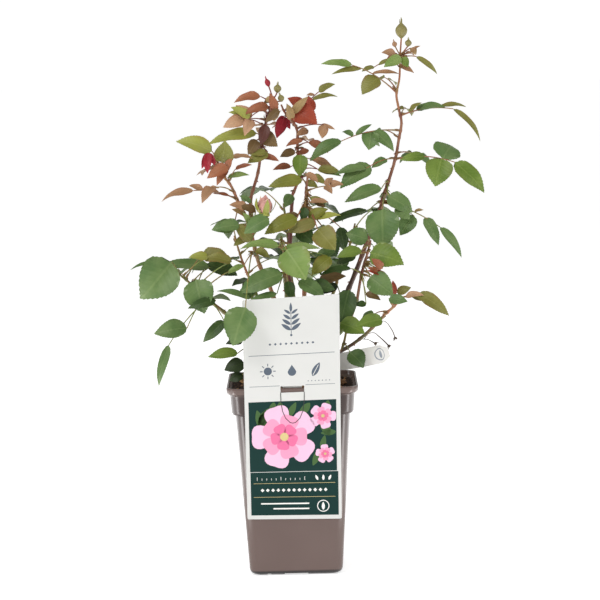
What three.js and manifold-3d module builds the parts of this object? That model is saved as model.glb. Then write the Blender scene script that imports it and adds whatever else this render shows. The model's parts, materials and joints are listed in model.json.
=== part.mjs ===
// A young rose bush in its square nursery pot, with the hanging card and the stem tag it is sold with.
// Sizes are in millimetres. +X is to the right and +Y to the back as seen from the front, +Z is up.
// The origin is the middle of the pot's flat underside.
import * as THREE from 'three';
import Module from 'manifold-3d';

const wasm = await Module();
wasm.setup();
const { Manifold, Mesh } = wasm;

const CLEAR = 0.3;            // gap between neighbouring solids
const UP = new THREE.Vector3(0, 0, 1);

// Small helpers

const vec = (p) => new THREE.Vector3(p[0], p[1], p[2]);

function seeded(seed) {
  let state = seed >>> 0;
  return () => {
    state = (Math.imul(state, 1664525) + 1013904223) >>> 0;
    return state / 4294967296;
  };
}

function solid(points, faces) {
  const body = new Manifold(new Mesh({
    numProp: 3,
    vertProperties: new Float32Array(points.flat()),
    triVerts: new Uint32Array(faces.flat()),
  }));
  if (body.volume() > 0) return body;
  return new Manifold(new Mesh({
    numProp: 3,
    vertProperties: new Float32Array(points.flat()),
    triVerts: new Uint32Array(faces.map((f) => [f[0], f[2], f[1]]).flat()),
  }));
}

function largest(body) {
  const parts = body.decompose();
  parts.sort((a, b) => b.volume() - a.volume());
  return parts[0];
}

// Whether every edge still joins exactly two faces once corners closer than a micrometre are one
function staysClosed(body) {
  const mesh = body.getMesh();
  const ids = new Map();
  const corner = [];
  for (let i = 0; i < mesh.numVert; i += 1) {
    const start = i * mesh.numProp;
    const key = [0, 1, 2].map((axis) => Math.round(mesh.vertProperties[start + axis] * 1000)).join(',');
    if (!ids.has(key)) ids.set(key, ids.size);
    corner.push(ids.get(key));
  }
  const uses = new Map();
  for (let t = 0; t < mesh.triVerts.length; t += 3) {
    const face = [0, 1, 2].map((k) => corner[mesh.triVerts[t + k]]);
    if (new Set(face).size < 3) continue;
    for (let k = 0; k < 3; k += 1) {
      const a = face[k];
      const b = face[(k + 1) % 3];
      const edge = a < b ? `${a}-${b}` : `${b}-${a}`;
      uses.set(edge, (uses.get(edge) ?? 0) + 1);
    }
  }
  return [...uses.values()].every((count) => count === 2);
}

// Fuses pieces into one solid and drops the slivers that this leaves. Where two thin margins happen to
// cross in one line, the pieces are moved a few hundredths of a millimetre against each other.
function fuse(pieces) {
  for (let attempt = 0; attempt < 12; attempt += 1) {
    const step = 0.017 * attempt;
    const moved = pieces.map((piece, k) => piece.translate([
      step * ((k % 3) - 1), step * ((k % 5) - 2) * 0.5, step * ((k % 7) - 3) * 0.33]));
    const body = largest(Manifold.union(moved).simplify(0.08));
    if (staysClosed(body)) return body;
  }
  throw new Error('a fused solid has coinciding edges');
}

// A stack of convex rings, each with the same number of points, closed at either end
function skin(rings) {
  const points = [];
  const faces = [];
  const count = rings[0].length;
  for (const ring of rings) points.push(...ring);
  for (let i = 0; i < rings.length - 1; i += 1) {
    for (let k = 0; k < count; k += 1) {
      const next = (k + 1) % count;
      const a = i * count + k;
      const b = i * count + next;
      const c = (i + 1) * count + next;
      const d = (i + 1) * count + k;
      faces.push([a, b, c], [a, c, d]);
    }
  }
  const end = (rings.length - 1) * count;
  for (let k = 1; k < count - 1; k += 1) {
    faces.push([0, k + 1, k]);
    faces.push([end, end + k, end + k + 1]);
  }
  return solid(points, faces);
}

// A smooth run through a few marks, as even steps
function smooth(marks, steps) {
  return new THREE.CatmullRomCurve3(marks.map(vec), false, 'centripetal').getPoints(steps);
}

// A round tapering limb along a path. radii are spread evenly from the foot to the tip.
function limb(path, radii, sides, grow = 0) {
  const rings = [];
  let side = null;
  path.forEach((p, i) => {
    const before = path[Math.max(i - 1, 0)];
    const after = path[Math.min(i + 1, path.length - 1)];
    const along = after.clone().sub(before).normalize();
    if (!side) side = Math.abs(along.z) > 0.9 ? new THREE.Vector3(1, 0, 0) : UP.clone();
    side.addScaledVector(along, -side.dot(along)).normalize();
    const across = along.clone().cross(side);
    const place = (i / (path.length - 1)) * (radii.length - 1);
    const low = Math.min(Math.floor(place), radii.length - 2);
    const radius = radii[low] + (radii[low + 1] - radii[low]) * (place - low) + grow;
    const middle = p.clone();
    if (grow && i === 0) middle.addScaledVector(along, -grow);
    if (grow && i === path.length - 1) middle.addScaledVector(along, grow);
    const ring = [];
    for (let k = 0; k < sides; k += 1) {
      const turn = (2 * Math.PI * k) / sides;
      ring.push(middle.clone()
        .addScaledVector(side, radius * Math.cos(turn))
        .addScaledVector(across, radius * Math.sin(turn)).toArray());
    }
    rings.push(ring);
  });
  return skin(rings);
}

// The pot: a deep square tub with a flared lip, a plain collar and a tapering body

const RIM_HALF = 75;          // half of the square at the top of the lip
const RIM_TOP = 220;          // height of the pot
const FOOT_HALF = 53.5;
const WALL = 1.7;
const CORNER = 10;            // radius of the upright corners
const FLOOR = 4;
const SOIL_TOP = 213;

const outside = [
  [FOOT_HALF - 9, 0],
  [FOOT_HALF - 3.4, 1.8],
  [FOOT_HALF, 7],
  [65.2, 187],
  [69.3, 190],
  [70.8, 211.5],
  [74.2, 213],
  [RIM_HALF, RIM_TOP - 0.6],
  [RIM_HALF - 0.6, RIM_TOP],
];
const inside = [
  [46.5, FLOOR],
  [52.2, 10.5],
  [63.5, 187],
  [67.6, 190.5],
  [69.1, 211.5],
  [72.5, 214.5],
  [72.8, RIM_TOP + 1],
];

// A square ring with rounded corners at one height
function squareRing(half, height, radius) {
  const ring = [];
  const steps = 3;
  for (let corner = 0; corner < 4; corner += 1) {
    const middleTurn = (Math.PI / 2) * corner + Math.PI / 4;
    const cx = Math.sign(Math.cos(middleTurn)) * (half - radius);
    const cy = Math.sign(Math.sin(middleTurn)) * (half - radius);
    for (let k = 0; k <= steps; k += 1) {
      const turn = (Math.PI / 2) * (corner + k / steps);
      ring.push([cx + radius * Math.cos(turn), cy + radius * Math.sin(turn), height]);
    }
  }
  return ring;
}

function makePot() {
  const shell = skin(outside.map(([half, height]) => squareRing(half, height, CORNER)));
  const hollow = skin(inside.map(([half, height]) => squareRing(half, height, CORNER - WALL)));
  let pot = shell.subtract(hollow);
  // a shallow drain notch in the middle of each side's foot
  const notchWide = 29;
  const notchDeep = 12;
  const notchHigh = 2.4;
  for (let side = 0; side < 4; side += 1) {
    const notch = skin([
      [[-notchWide / 2, -1], [notchWide / 2, -1], [notchWide / 2, notchDeep], [-notchWide / 2, notchDeep]]
        .map(([x, y]) => [x, y - FOOT_HALF - 2, -1]),
      [[-notchWide / 2 + 2, -1], [notchWide / 2 - 2, -1], [notchWide / 2 - 2, notchDeep],
        [-notchWide / 2 + 2, notchDeep]].map(([x, y]) => [x, y - FOOT_HALF - 2, notchHigh]),
    ]);
    pot = pot.subtract(notch.rotate([0, 0, 90 * side]));
  }
  return pot;
}

function makeSoil() {
  const fit = CLEAR + 0.05;
  const levels = inside.slice(0, 5).map(([half, height]) => [half - fit, height]);
  levels[0][1] = FLOOR + CLEAR;
  const top = 69.1 + (72.5 - 69.1) * ((SOIL_TOP - 211.5) / 3) - fit;
  levels.push([top, SOIL_TOP]);
  return skin(levels.map(([half, height]) => squareRing(half, height, CORNER - WALL - fit)));
}

// The card: one flat sheet that leans on the lip, with a window over the lip and a hook behind it

const CARD_THICK = 0.8;
const CARD_LEAN = 0.113;      // how far the sheet comes forward for each mm of height
const CARD_BACK = -75.35;     // where its back is at the top of the rim
const cardCorners = [[-54.6, 67.5], [53.2, 66], [55.2, 327], [-54.2, 322]];
const cardWindow = { half: 13.4, low: 215, high: 222.4 };

function makeCard() {
  const place = (x, height, off) => {
    const y = CARD_BACK + (RIM_TOP - height) * CARD_LEAN - off;
    return [x, y, height];
  };
  const sheet = skin([0, CARD_THICK].map((off) => cardCorners.map(([x, z]) => place(x, z, off))));
  const { half, low, high } = cardWindow;
  const frame = [[-half, low], [half, low], [half, high], [-half, high]];
  const window = skin([-1, CARD_THICK + 1].map((off) => frame.map(([x, z]) => place(x, z, off))));
  // the hook leaves the window's top edge, passes over the rim and goes down inside it
  const hookHalf = 11;
  const hookIn = -RIM_HALF + 2.2 + CLEAR + 0.2;
  const start = CARD_BACK - CARD_THICK + 0.2;
  const section = [
    [start, high],
    [start, high + CARD_THICK],
    [hookIn + CARD_THICK, high + CARD_THICK],
    [hookIn + CARD_THICK, SOIL_TOP + 2],
    [hookIn, SOIL_TOP + 2],
    [hookIn, high],
  ];
  const outline = new THREE.Shape(section.map(([y, z]) => new THREE.Vector2(y, z)));
  const hookShape = new THREE.ExtrudeGeometry(outline, { depth: 2 * hookHalf, bevelEnabled: false, steps: 1 });
  hookShape.translate(0, 0, -hookHalf);
  const turned = hookShape.attributes.position;
  const points = [];
  for (let i = 0; i < turned.count; i += 1) points.push([turned.getZ(i), turned.getX(i), turned.getY(i)]);
  const hook = welded(points);
  return sheet.subtract(window).add(hook);
}

// Joins a loose list of triangle corners into one closed solid
function welded(points) {
  const keys = new Map();
  const kept = [];
  const faces = [];
  const index = points.map((p) => {
    const key = p.map((v) => Math.round(v * 1000)).join(',');
    if (!keys.has(key)) {
      keys.set(key, kept.length);
      kept.push(p);
    }
    return keys.get(key);
  });
  for (let i = 0; i < index.length; i += 3) faces.push([index[i], index[i + 1], index[i + 2]]);
  return solid(kept, faces);
}

// The limbs. Each has a few marks that it runs through, and its radius at the foot and the tip.

const unionMarks = [
  [7.7, 4, SOIL_TOP + CLEAR], [7.7, 4, 218.5], [8.6, 4, 226.4], [8.6, 3, 235.3], [9.5, 3, 241.3],
];
const unionRadii = [15, 10.5, 11, 14, 13, 5];

const limbRows = [
  ['tall_cane', [[16.4, 5, 232.3], [31, 6, 258], [57.3, 10, 301.4],
      [76.7, 16, 342.7], [92.2, 22, 380.9], [108.6, 27, 419.1]],
    [3.4, 2.2]],
  ['left_cane', [[0.7, 2, 234.3], [-9.3, -2, 271.9], [-21.4, -8, 323.4],
      [-35.3, -14, 357], [-41.3, -18, 383.7], [-44.3, -20, 399.5]],
    [2.7, 1.9]],
  ['left_fork', [[-44.3, -20, 396.6], [-48.3, -24, 408.5], [-55.2, -28, 422.4]], [1.9, 1.6]],
  ['upper_fork', [[-44.3, -20, 400.1], [-42.5, -14, 431.7], [-33.8, -10, 461.1], [-30, -8, 484.6]], [2, 1.6]],
  ['middle_cane', [[5.6, 8, 236.1], [0.4, 14, 295], [-0.9, 17, 342.2],
      [2.7, 20, 403.1], [4.6, 21, 430.6]], [3, 2]],
  ['front_cane', [[2.7, -4, 236.6], [-2.5, -20, 292.4], [-5.7, -32, 342.2]], [2.8, 2]],
  ['centre_cane', [[12.5, 2, 237.4], [15.1, -2, 295.7], [17.7, -6, 355], [20.4, -10, 415.2]], [2.8, 1.9]],
  ['side_cane', [[13.5, -3, 234.6], [41.9, -12, 258.8], [67.2, -22, 290.9], [76.9, -27, 314.8]], [2.6, 1.8]],
  ['low_right_cane', [[14.5, -6, 233.7], [36, -19, 247.2], [53.7, -30, 253.7],
      [80.1, -46, 272.2], [106.5, -59, 298.5]],
    [2.3, 1.8]],
  ['low_left_cane', [[0.7, -3, 232.6], [-38.8, -9, 264.2], [-70.4, -13, 295.7], [-90.1, -14, 312.4]],
    [2.8, 2]],
  ['back_left_cane', [[0.7, 10, 232], [-21.1, 34, 270.4], [-43, 56, 320.7]], [2.8, 2]],
  ['back_right_cane', [[15.5, 10, 232.1], [35.8, 38, 276.5], [55.2, 60, 327]], [2.8, 2]],
  ['back_cane', [[7.6, 12, 234], [5.3, 46, 289.8], [0.1, 76, 343.8]], [2.8, 2]],
];

// The masses of foliage. Each has a stem through a few marks, then its leaves and its buds.
// A leaf: height on the stem, where its stalk ends, the way its last leaflet points, the last leaflet's
// length and width, how many pairs of leaflets it has, how far its face turns to the viewer, and its tone.
// Where the side leaflets show well they are given instead, each as its share of the way along the stalk,
// its run from base to tip, and its width.
const leaf = (up, to, tip, blade, pairs, face, tone, sides = []) => (
  { up, to, tip, blade, pairs, face, tone, sides });
// A bud: height on the stem, where it sits, the way it points, its length and width, and its tone
const bud = (up, at, tip, size, tone) => ({ up, at, tip, size, tone });

const massRows = [
  {
    name: 'tall_shoot_top',
    tone: 'olive',
    stem: [[130.4, 36, 530.8], [128.3, 37, 545.4], [132.1, 38, 564], [133.4, 38, 589.5], [135.2, 38, 611]],
    leaves: [
      leaf(548, [77, 18, 581], [-34, -2, 2], [36, 11], 0, 50, 'pale',
        [[0.42, [-18, -8, -16], 19, 'olive'], [0.55, [32, 4, 0], 6, 'bronze'],
        [0.78, [-35, -8, -4], 8, 'olive']]),
      leaf(588, [103, 30, 578], [-14, -4, -4], [16, 8], 0, 40, 'olive', [[0.85, [27, -8, 5], 9]]),
      leaf(588, [152, 34, 589], [24, 0, -20], [32, 8], 0, 50, 'olive'),
      leaf(589, [145, 34, 593], [11, 0, 8], [15, 6], 0, 30, 'bronze', [[0.6, [10, 10, -2], 7]]),
      leaf(586, [136, 28, 589], [6, -4, -12], [14, 10], 0, 80, 'bright'),
      leaf(588, [134, 26, 589], [-20, -6, -11], [24, 13], 0, 75, 'pale'),
      leaf(591, [128, 30, 591], [-15, -4, 4],
        [17, 11], 0, 60, 'bronze', [[0.4, [-14, 8, -8], 9, 'red_brown']]),
      leaf(550, [116, 66, 565], [-12, 16, -10], [24, 14], 0, 35, 'olive', [[0.7, [10, 16, -6], 10]]),
    ],
    buds: [
      bud(607, [135.2, 38, 610.1], [0, 0, 1], [25, 14], 'olive'),
      bud(591, [127.9, 36, 600.3], [-2, 0, 8.8], [10, 6], 'bronze'),
      bud(591, [142.6, 36, 600.4], [0.9, 0, 8.8], [12, 8], 'olive'),
    ],
  },
  {
    name: 'tall_shoot_middle',
    tone: 'mid',
    stem: [[124, 31, 467.2], [125.9, 31, 473.1], [129.7, 33, 492.6], [133.4, 35, 513.2], [130.4, 36, 529.8]],
    leaves: [
      leaf(521, [193, 20, 528], [33, -4, -37], [49, 11], 0, 35, 'olive',
        [[0.3, [25, 6, 7], 12, 'mid'], [0.36, [29, -10, 4], 14, 'mid'], [0.72, [33, 4, 2], 8],
        [0.16, [14, -6, 12], 9]]),
      leaf(503, [63, 14, 494], [-37, -4, -20], [43, 17], 0, 45, 'mid',
        [[0.36, [-4, -8, -21], 21], [0.34, [26, -8, -21], 16], [0.76, [19, 6, 13], 7],
        [0.8, [-13, 6, 6], 8]]),
      leaf(472, [91, 10, 462], [-35, -4, -4], [37, 12], 0, 45, 'mid',
        [[0.85, [-37, -10, -23], 25], [0.3, [-18, -10, -9], 12]]),
      leaf(471, [193, 8, 467], [33, -4, -35], [49, 25], 0, 65, 'bright',
        [[0.5, [-29, -6, -3], 12], [0.8, [23, 8, 17], 24], [0.78, [-8, -8, -31], 32]]),
      leaf(478, [154, 62, 473], [14, 12, -16], [26, 16], 0, 40, 'mid', [[0.7, [-16, 14, -12], 14]]),
      leaf(496, [111, 62, 504], [-4, 16, -18], [26, 18], 0, 40, 'mid'),
      leaf(521, [140, 70, 528], [8, 20, -7], [24, 12], 0, 30, 'olive', [[0.7, [-14, 12, -4], 10]]),
    ],
    buds: [],
  },
  {
    name: 'tall_shoot_lower',
    tone: 'mid',
    stem: [[108.6, 27, 420.1], [116.3, 29, 443.7], [124, 31, 466.2]],
    leaves: [
      leaf(445, [108, 4, 439], [-43, -8, -14], [46, 17], 0, 55, 'mid'),
      leaf(441, [115, 4, 430], [28, -6, -18], [34, 22], 0, 60, 'mid'),
      leaf(435, [124, 0, 417], [15, -6, -13], [21, 17], 0, 65, 'pale'),
      leaf(431, [108, -12, 416], [0, -8, -43], [46, 39], 0, 80, 'mid'),
      leaf(427, [175, 10, 392], [24, -3, -35], [43, 17], 0, 40, 'mid',
        [[0.56, [20, -8, -31], 19], [0.5, [16, 10, 4], 9]]),
      leaf(423, [145, 6, 406], [-16, -6, -20], [28, 20], 0, 60, 'deep'),
      leaf(423, [93, 44, 410], [-45, 4, -13], [48, 16], 0, 30, 'deep'),
      leaf(433, [123, 66, 416], [10, 22, -17], [32, 20], 1, 40, 'deep'),
    ],
    buds: [],
  },
  {
    name: 'upper_left_shoot',
    tone: 'bronze',
    stem: [[-30, -8, 485.6], [-26.2, -8, 509.1], [-18.5, -9, 531.8], [-12.7, -9, 547.5]],
    leaves: [
      leaf(544, [-11, -14, 544], [-15, -6, -4], [17, 9], 0, 40, 'red_brown'),
      leaf(538, [-29, -12, 548], [-28, -3, -5], [31, 13], 0, 50, 'bronze'),
      leaf(532, [-22, -20, 538], [-30, -6, -8], [33, 15], 0, 60, 'red_brown'),
      leaf(520, [-40, -14, 523], [-25, -4, 9], [27, 12], 0, 50, 'olive'),
      leaf(514, [-46, -22, 523], [-25, -6, -8], [28, 16], 1, 60, 'blush'),
      leaf(500, [-34, -14, 506], [-54, -4, -10], [58, 17], 0, 50, 'lime'),
      leaf(496, [-34, -22, 499], [-9, -6, -14], [20, 14], 0, 75, 'dusk'),
      leaf(504, [-30, -18, 507], [16, -6, -13], [26, 18], 0, 75, 'dusk'),
      leaf(490, [-22, -22, 485], [-19, -6, -10], [27, 15], 0, 65, 'olive'),
      leaf(508, [-24, 22, 513], [-8, 22, -9], [26, 14], 1, 30, 'bronze'),
      leaf(528, [-32, 12, 531], [-16, 16, -5], [24, 12], 0, 30, 'bronze'),
      leaf(536, [-12, -24, 530], [-6, -2, 22], [23, 10], 0, 75, 'blush'),
      leaf(522, [-8, -28, 533], [-16, -2, -14], [21, 10], 0, 70, 'bronze'),
      leaf(508, [-23, -24, 516], [-6, -4, -20], [22, 12], 0, 80, 'red_brown'),
      leaf(492, [-29, -22, 481], [-15, -4, -6], [17, 10], 0, 55, 'pale'),
    ],
    buds: [
      bud(544, [-22.5, -9, 556.2], [-1, 0, 11.7], [16, 7], 'crimson'),
      bud(546, [-9.8, -9, 551.4], [0.9, 0, 9.8], [14, 9], 'olive'),
    ],
  },
  {
    name: 'left_shoot',
    tone: 'crimson',
    stem: [[-55.2, -28, 423.4], [-64.2, -34, 447.2], [-73, -38, 460], [-79, -40, 475.8]],
    leaves: [
      leaf(474, [-85, -40, 488], [-38, -4, 13], [42, 20], 0, 60, 'lime'),
      leaf(472, [-73, -44, 480], [3, -10, 21], [27, 23], 0, 80, 'bright'),
      leaf(470, [-93, -54, 486], [-6, -8, -19], [24, 12], 1, 80, 'crimson'),
      leaf(460, [-67, -52, 471], [-23, -8, -12], [28, 14], 0, 65, 'blush',
        [[0.8, [-12, -8, -19], 10], [0.5, [8, -6, 14], 9]]),
      leaf(432, [-107, -44, 444], [-35, -4, -8], [38, 11], 0, 45, 'bronze',
        [[0.78, [-16, 6, 6], 8], [0.7, [14, -8, 4], 7], [0.4, [-14, -10, 2], 7]]),
      leaf(464, [-63, -34, 480], [22, 2, 0], [24, 9], 0, 35, 'bronze'),
      leaf(450, [-55, -30, 462], [20, -4, -2], [23, 9], 0, 40, 'pale'),
      leaf(425, [-62, -40, 403], [-24, -6, -3], [26, 18], 0, 60, 'mid'),
      leaf(456, [-85, -10, 467], [-14, 22, -7], [28, 16], 1, 35, 'bronze'),
      leaf(440, [-83, -70, 448], [-12, -16, -13], [26, 14], 0, 40, 'bronze'),
    ],
    buds: [],
  },
  {
    name: 'bud_shoot',
    tone: 'mid',
    stem: [[-43.4, -18, 414.2], [-37.5, -32, 405], [-31.6, -40, 401.4]],
    leaves: [
      leaf(405, [-24, -52, 403], [-26, -6, -2], [30, 18], 0, 60, 'mid'),
      leaf(407, [-32, -44, 419], [-16, -4, 4], [18, 10], 0, 40, 'red_brown'),
      leaf(409, [-38, -52, 423], [-15, -6, -10], [19, 14], 0, 60, 'mid'),
    ],
    buds: [
      bud(401, [-27.7, -44, 412.4], [0.9, 0, 9.8], [27, 21], 'pink'),
    ],
  },
  {
    name: 'centre_upper_shoot',
    tone: 'red_brown',
    stem: [[4.6, 21, 431.6], [14.2, 25, 457], [12.1, 28, 483.4], [11, 28, 510.8], [-1.9, 28, 528.4],
      [-5.8, 28, 537.2]],
    leaves: [
      leaf(519, [8, 12, 531], [22, -8, -17], [32, 24], 0, 75, 'red'),
      leaf(526, [7, 8, 527], [18, -4, 19], [26, 13], 0, 65, 'olive'),
      leaf(530, [20, 18, 533], [-18, -4, 12], [22, 14], 0, 70, 'red'),
      leaf(523, [-3, 10, 521], [-8, -6, -19], [24, 13], 0, 80, 'crimson', [[0.8, [6, -6, -13], 8],
        [0.6, [-12, -4, -10], 9]]),
      leaf(515, [38, 22, 550], [18, -2, 8], [21, 9], 1, 40, 'olive'),
      leaf(509, [36, 16, 508], [20, -2, -3], [23, 13], 1, 50, 'bronze'),
      leaf(493, [18, 8, 496], [-18, -6, -5], [21, 9], 0, 55, 'red'),
      leaf(497, [25, 24, 493], [22, -2, -11], [26, 11], 0, 50, 'red_brown'),
      leaf(485, [9, 8, 484], [-20, -6, -6], [22, 12], 0, 55, 'olive'),
      leaf(481, [15, 4, 480], [-1, -6, -21], [26, 18], 0, 80, 'bright'),
      leaf(466, [3, 10, 466], [-22, -6, -2], [23, 10], 0, 50, 'red_brown'),
      leaf(474, [25, 26, 474], [29, -2, -13], [33, 11], 0, 45, 'red_brown'),
      leaf(462, [35, 16, 462], [26, -4, -5], [28, 13], 0, 50, 'olive'),
      leaf(511, [3, 58, 514], [-8, 26, -9], [28, 16], 1, 30, 'red_brown'),
      leaf(489, [31, 62, 490], [12, 24, -11], [28, 16], 1, 30, 'bronze'),
      leaf(458, [21, 56, 453], [-14, 20, -11], [28, 18], 0, 30, 'mid'),
      leaf(525, [28, 22, 528], [-2, -2, 19], [19, 14], 0, 70, 'red'),
      leaf(517, [30, 20, 542], [29, -2, 5], [30, 8], 0, 45, 'olive'),
      leaf(470, [39, 14, 459], [23, -4, -5], [24, 8], 0, 45, 'pale'),
      leaf(454, [20, 10, 447], [15, -4, -5], [16, 10], 0, 55, 'olive'),
      leaf(436, [4, 8, 434], [-8, -6, -14], [17, 13], 0, 70, 'mid'),
    ],
    buds: [],
  },
  {
    name: 'centre_shoot',
    tone: 'olive',
    stem: [[20.3, -10, 416.2], [21.2, -12, 442.8], [23.1, -13, 455.6]],
    leaves: [
      leaf(420, [33, -44, 397], [18, -12, -21], [32, 28], 0, 70, 'olive'),
      leaf(422, [-2, -40, 404], [-26, -8, -5], [30, 19], 1, 60, 'olive'),
      leaf(428, [27, -30, 409], [30, -2, 4], [33, 14], 0, 55, 'olive'),
      leaf(432, [25, -26, 427], [20, -6, 0], [22, 9], 0, 40, 'bronze'),
      leaf(438, [47, -16, 444], [14, -2, 2], [17, 10], 1, 45, 'bronze'),
      leaf(448, [17, -20, 452], [-37, -4, -6], [40, 16], 0, 50, 'olive'),
      leaf(424, [17, -28, 420], [-12, -6, -8], [17, 14], 0, 70, 'mid'),
      leaf(420, [59, -4, 396], [4, 4, -26], [29, 15], 0, 60, 'deep'),
      leaf(418, [43, -22, 391], [10, -4, -25], [30, 22], 0, 70, 'deep'),
      leaf(424, [27, -34, 401], [-30, -6, -5], [32, 17], 0, 65, 'olive'),
      leaf(426, [25, -24, 407], [19, -4, 13], [23, 14], 0, 60, 'olive'),
      leaf(426, [11, -30, 397], [15, -5, -16], [24, 20], 0, 65, 'deep'),
      leaf(436, [21, -20, 430], [23, -4, -5], [24, 10], 0, 50, 'mid'),
      leaf(454, [21, -16, 459], [14, -4, -10], [18, 9], 0, 55, 'bronze'),
    ],
    buds: [],
  },
  {
    name: 'front_shoot',
    tone: 'pale',
    stem: [[-5.7, -32, 343.1], [-5.9, -38, 370], [-8.9, -40, 389.7]],
    leaves: [
      leaf(384, [-6, -62, 376], [20, -12, -31], [41, 39], 0, 75, 'pale'),
      leaf(348, [-15, -47, 348], [-56, -5, -16], [59, 30], 0, 65, 'mid'),
      leaf(386, [-16, -54, 382], [-47, -8, -2], [50, 14], 0, 45, 'mid'),
      leaf(348, [-19, -50, 321], [-40, -10, 0], [42, 12], 0, 40, 'mid'),
      leaf(388, [-8, -52, 380], [48, -10, 2], [50, 14], 0, 20, 'pale'),
      leaf(352, [8, -62, 332], [31, -10, -1], [35, 20], 0, 60, 'mid'),
      leaf(350, [-4, -56, 334], [-4, -6, -16], [20, 16], 0, 75, 'deep'),
      leaf(368, [26, -52, 363], [24, -8, -15], [31, 20], 0, 60, 'olive'),
      leaf(362, [24, -36, 341], [28, -6, -9], [32, 15], 0, 65, 'dusk'),
      leaf(382, [31, -40, 365], [22, -4, 6], [23, 14], 0, 50, 'mid'),
      leaf(352, [25, -48, 335], [26, -4, -6], [27, 16], 0, 65, 'deep'),
    ],
    buds: [],
  },
  {
    name: 'hanging_shoot',
    tone: 'mid',
    stem: [[-37.3, -14, 365.9], [-43.2, -26, 371.2], [-46.1, -34, 372.5]],
    leaves: [
      leaf(371, [-50, -106, 316], [-14, -5, -40], [44, 38], 0, 85, 'mid'),
      leaf(369, [-63, -40, 358], [-18, -10, -6], [26, 14], 1, 40, 'mid'),
    ],
    buds: [],
  },
  {
    name: 'side_shoot',
    tone: 'bright',
    stem: [[76.9, -27, 315.8], [81.7, -30, 341.6], [90.3, -32, 371.2], [93.2, -33, 382.1]],
    leaves: [
      leaf(370, [92, -46, 369], [36, -12, -11], [41, 30], 0, 70, 'bright'),
      leaf(358, [105, -62, 352], [-12, -2, 12], [17, 10], 0, 65, 'blush'),
      leaf(352, [91, -52, 342], [24, -10, -19], [34, 27], 0, 75, 'mid'),
      leaf(337, [81, -46, 320], [24, -8, -5], [27, 11], 0, 50, 'dusk'),
      leaf(347, [118, -44, 320], [-1, -2, 17], [17, 8], 0, 70, 'red'),
      leaf(343, [122, -40, 322], [16, -2, 6], [17, 11], 0, 60, 'olive'),
      leaf(378, [88, -18, 383], [-20, 8, 7], [26, 20], 0, 40, 'deep'),
      leaf(376, [82, -46, 372], [-26, -6, -6], [30, 15], 0, 50, 'bright'),
      leaf(368, [77, -18, 364], [-22, 8, -8], [27, 17], 0, 50, 'deep'),
      leaf(360, [110, -2, 363], [10, 22, -13], [30, 20], 1, 35, 'mid'),
      leaf(341, [67, -42, 349], [-24, -8, -8], [30, 18], 0, 60, 'deep'),
      leaf(356, [101, -58, 347], [-15, -2, 5], [16, 6], 0, 55, 'red_brown'),
    ],
    buds: [],
  },
  {
    name: 'low_right_shoot',
    tone: 'olive',
    stem: [[106.5, -59, 299.5], [118.2, -62, 309.6], [126, -63, 318.5]],
    leaves: [
      leaf(316, [145, -66, 324], [33, -8, -24], [43, 17], 0, 50, 'olive',
        [[0.3, [20, -8, 3], 9, 'blush'], [0.55, [14, 8, -8], 9]]),
      leaf(309, [111, -76, 319], [21, -6, -3], [22, 13], 0, 60, 'mid'),
      leaf(302, [103, -74, 296], [-26, -12, -5], [33, 18], 0, 60, 'bright'),
      leaf(302, [95, -34, 297], [-14, 14, -10], [24, 16], 0, 40, 'mid'),
    ],
    buds: [],
  },
  {
    name: 'low_centre_shoot',
    tone: 'deep',
    stem: [[57.6, -33, 256.8], [61.5, -40, 271.9], [64.3, -44, 289.8]],
    leaves: [
      leaf(286, [56, -58, 291], [24, -8, -10], [31, 24], 0, 75, 'bright'),
      leaf(289, [67, -50, 328], [-11, -4, -43], [47, 25], 0, 80, 'deep'),
      leaf(264, [66, -70, 259], [16, -4, -18], [24, 21], 0, 65, 'deep'),
    ],
    buds: [],
  },
  {
    name: 'low_left_shoot',
    tone: 'mid',
    stem: [[-90.1, -14, 313.4], [-111.8, -14, 333], [-127.5, -12, 346.6]],
    leaves: [
      leaf(346, [-135, -20, 361], [-35, -10, -39], [55, 47], 0, 80, 'mid'),
      leaf(346, [-149, -4, 358], [-33, 2, -4], [36, 9], 0, 20, 'mid'),
      leaf(333, [-107, -36, 342], [8, -8, -35], [40, 35], 0, 80, 'mid'),
      leaf(335, [-92, 2, 352], [-53, -2, 3], [58, 19], 0, 40, 'mid'),
      leaf(329, [-94, 14, 346], [27, 4, 2], [34, 20], 0, 50, 'deep'),
      leaf(340, [-100, -10, 368], [28, -4, -3], [32, 18], 0, 55, 'olive'),
      leaf(343, [-93, -16, 366], [-23, -4, 0], [23, 12], 0, 55, 'lime'),
      leaf(321, [-119, -34, 286], [-35, -6, -4], [38, 23], 0, 60, 'mid'),
      leaf(317, [-140, -40, 267], [-16, -2, -47], [51, 15], 0, 75, 'mid'),
      leaf(317, [-76, -40, 294], [-24, -4, -22], [34, 14], 0, 70, 'deep'),
      leaf(339, [-128, 26, 343], [-18, 22, -13], [36, 22], 1, 40, 'mid'),
      leaf(321, [-92, 22, 310], [-10, 26, -13], [34, 20], 1, 40, 'deep'),
      leaf(325, [-54, -20, 355], [-17, -4, -8], [19, 8], 0, 50, 'pale'),
    ],
    buds: [],
  },
  {
    name: 'rim_left_shoot',
    tone: 'bright',
    stem: [[-31.9, -8, 257.3], [-42.7, -24, 260.8], [-50.5, -40, 259.4]],
    leaves: [
      leaf(260, [-62, -60, 258], [-33, -6, -4], [37, 14], 0, 45, 'bright'),
      leaf(261, [-55, -58, 273], [-19, -4, 0], [19, 12], 0, 60, 'deep'),
      leaf(259, [-55, -66, 252], [-21, -4, -12], [25, 17], 0, 65, 'deep'),
    ],
    buds: [],
  },
];

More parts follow.
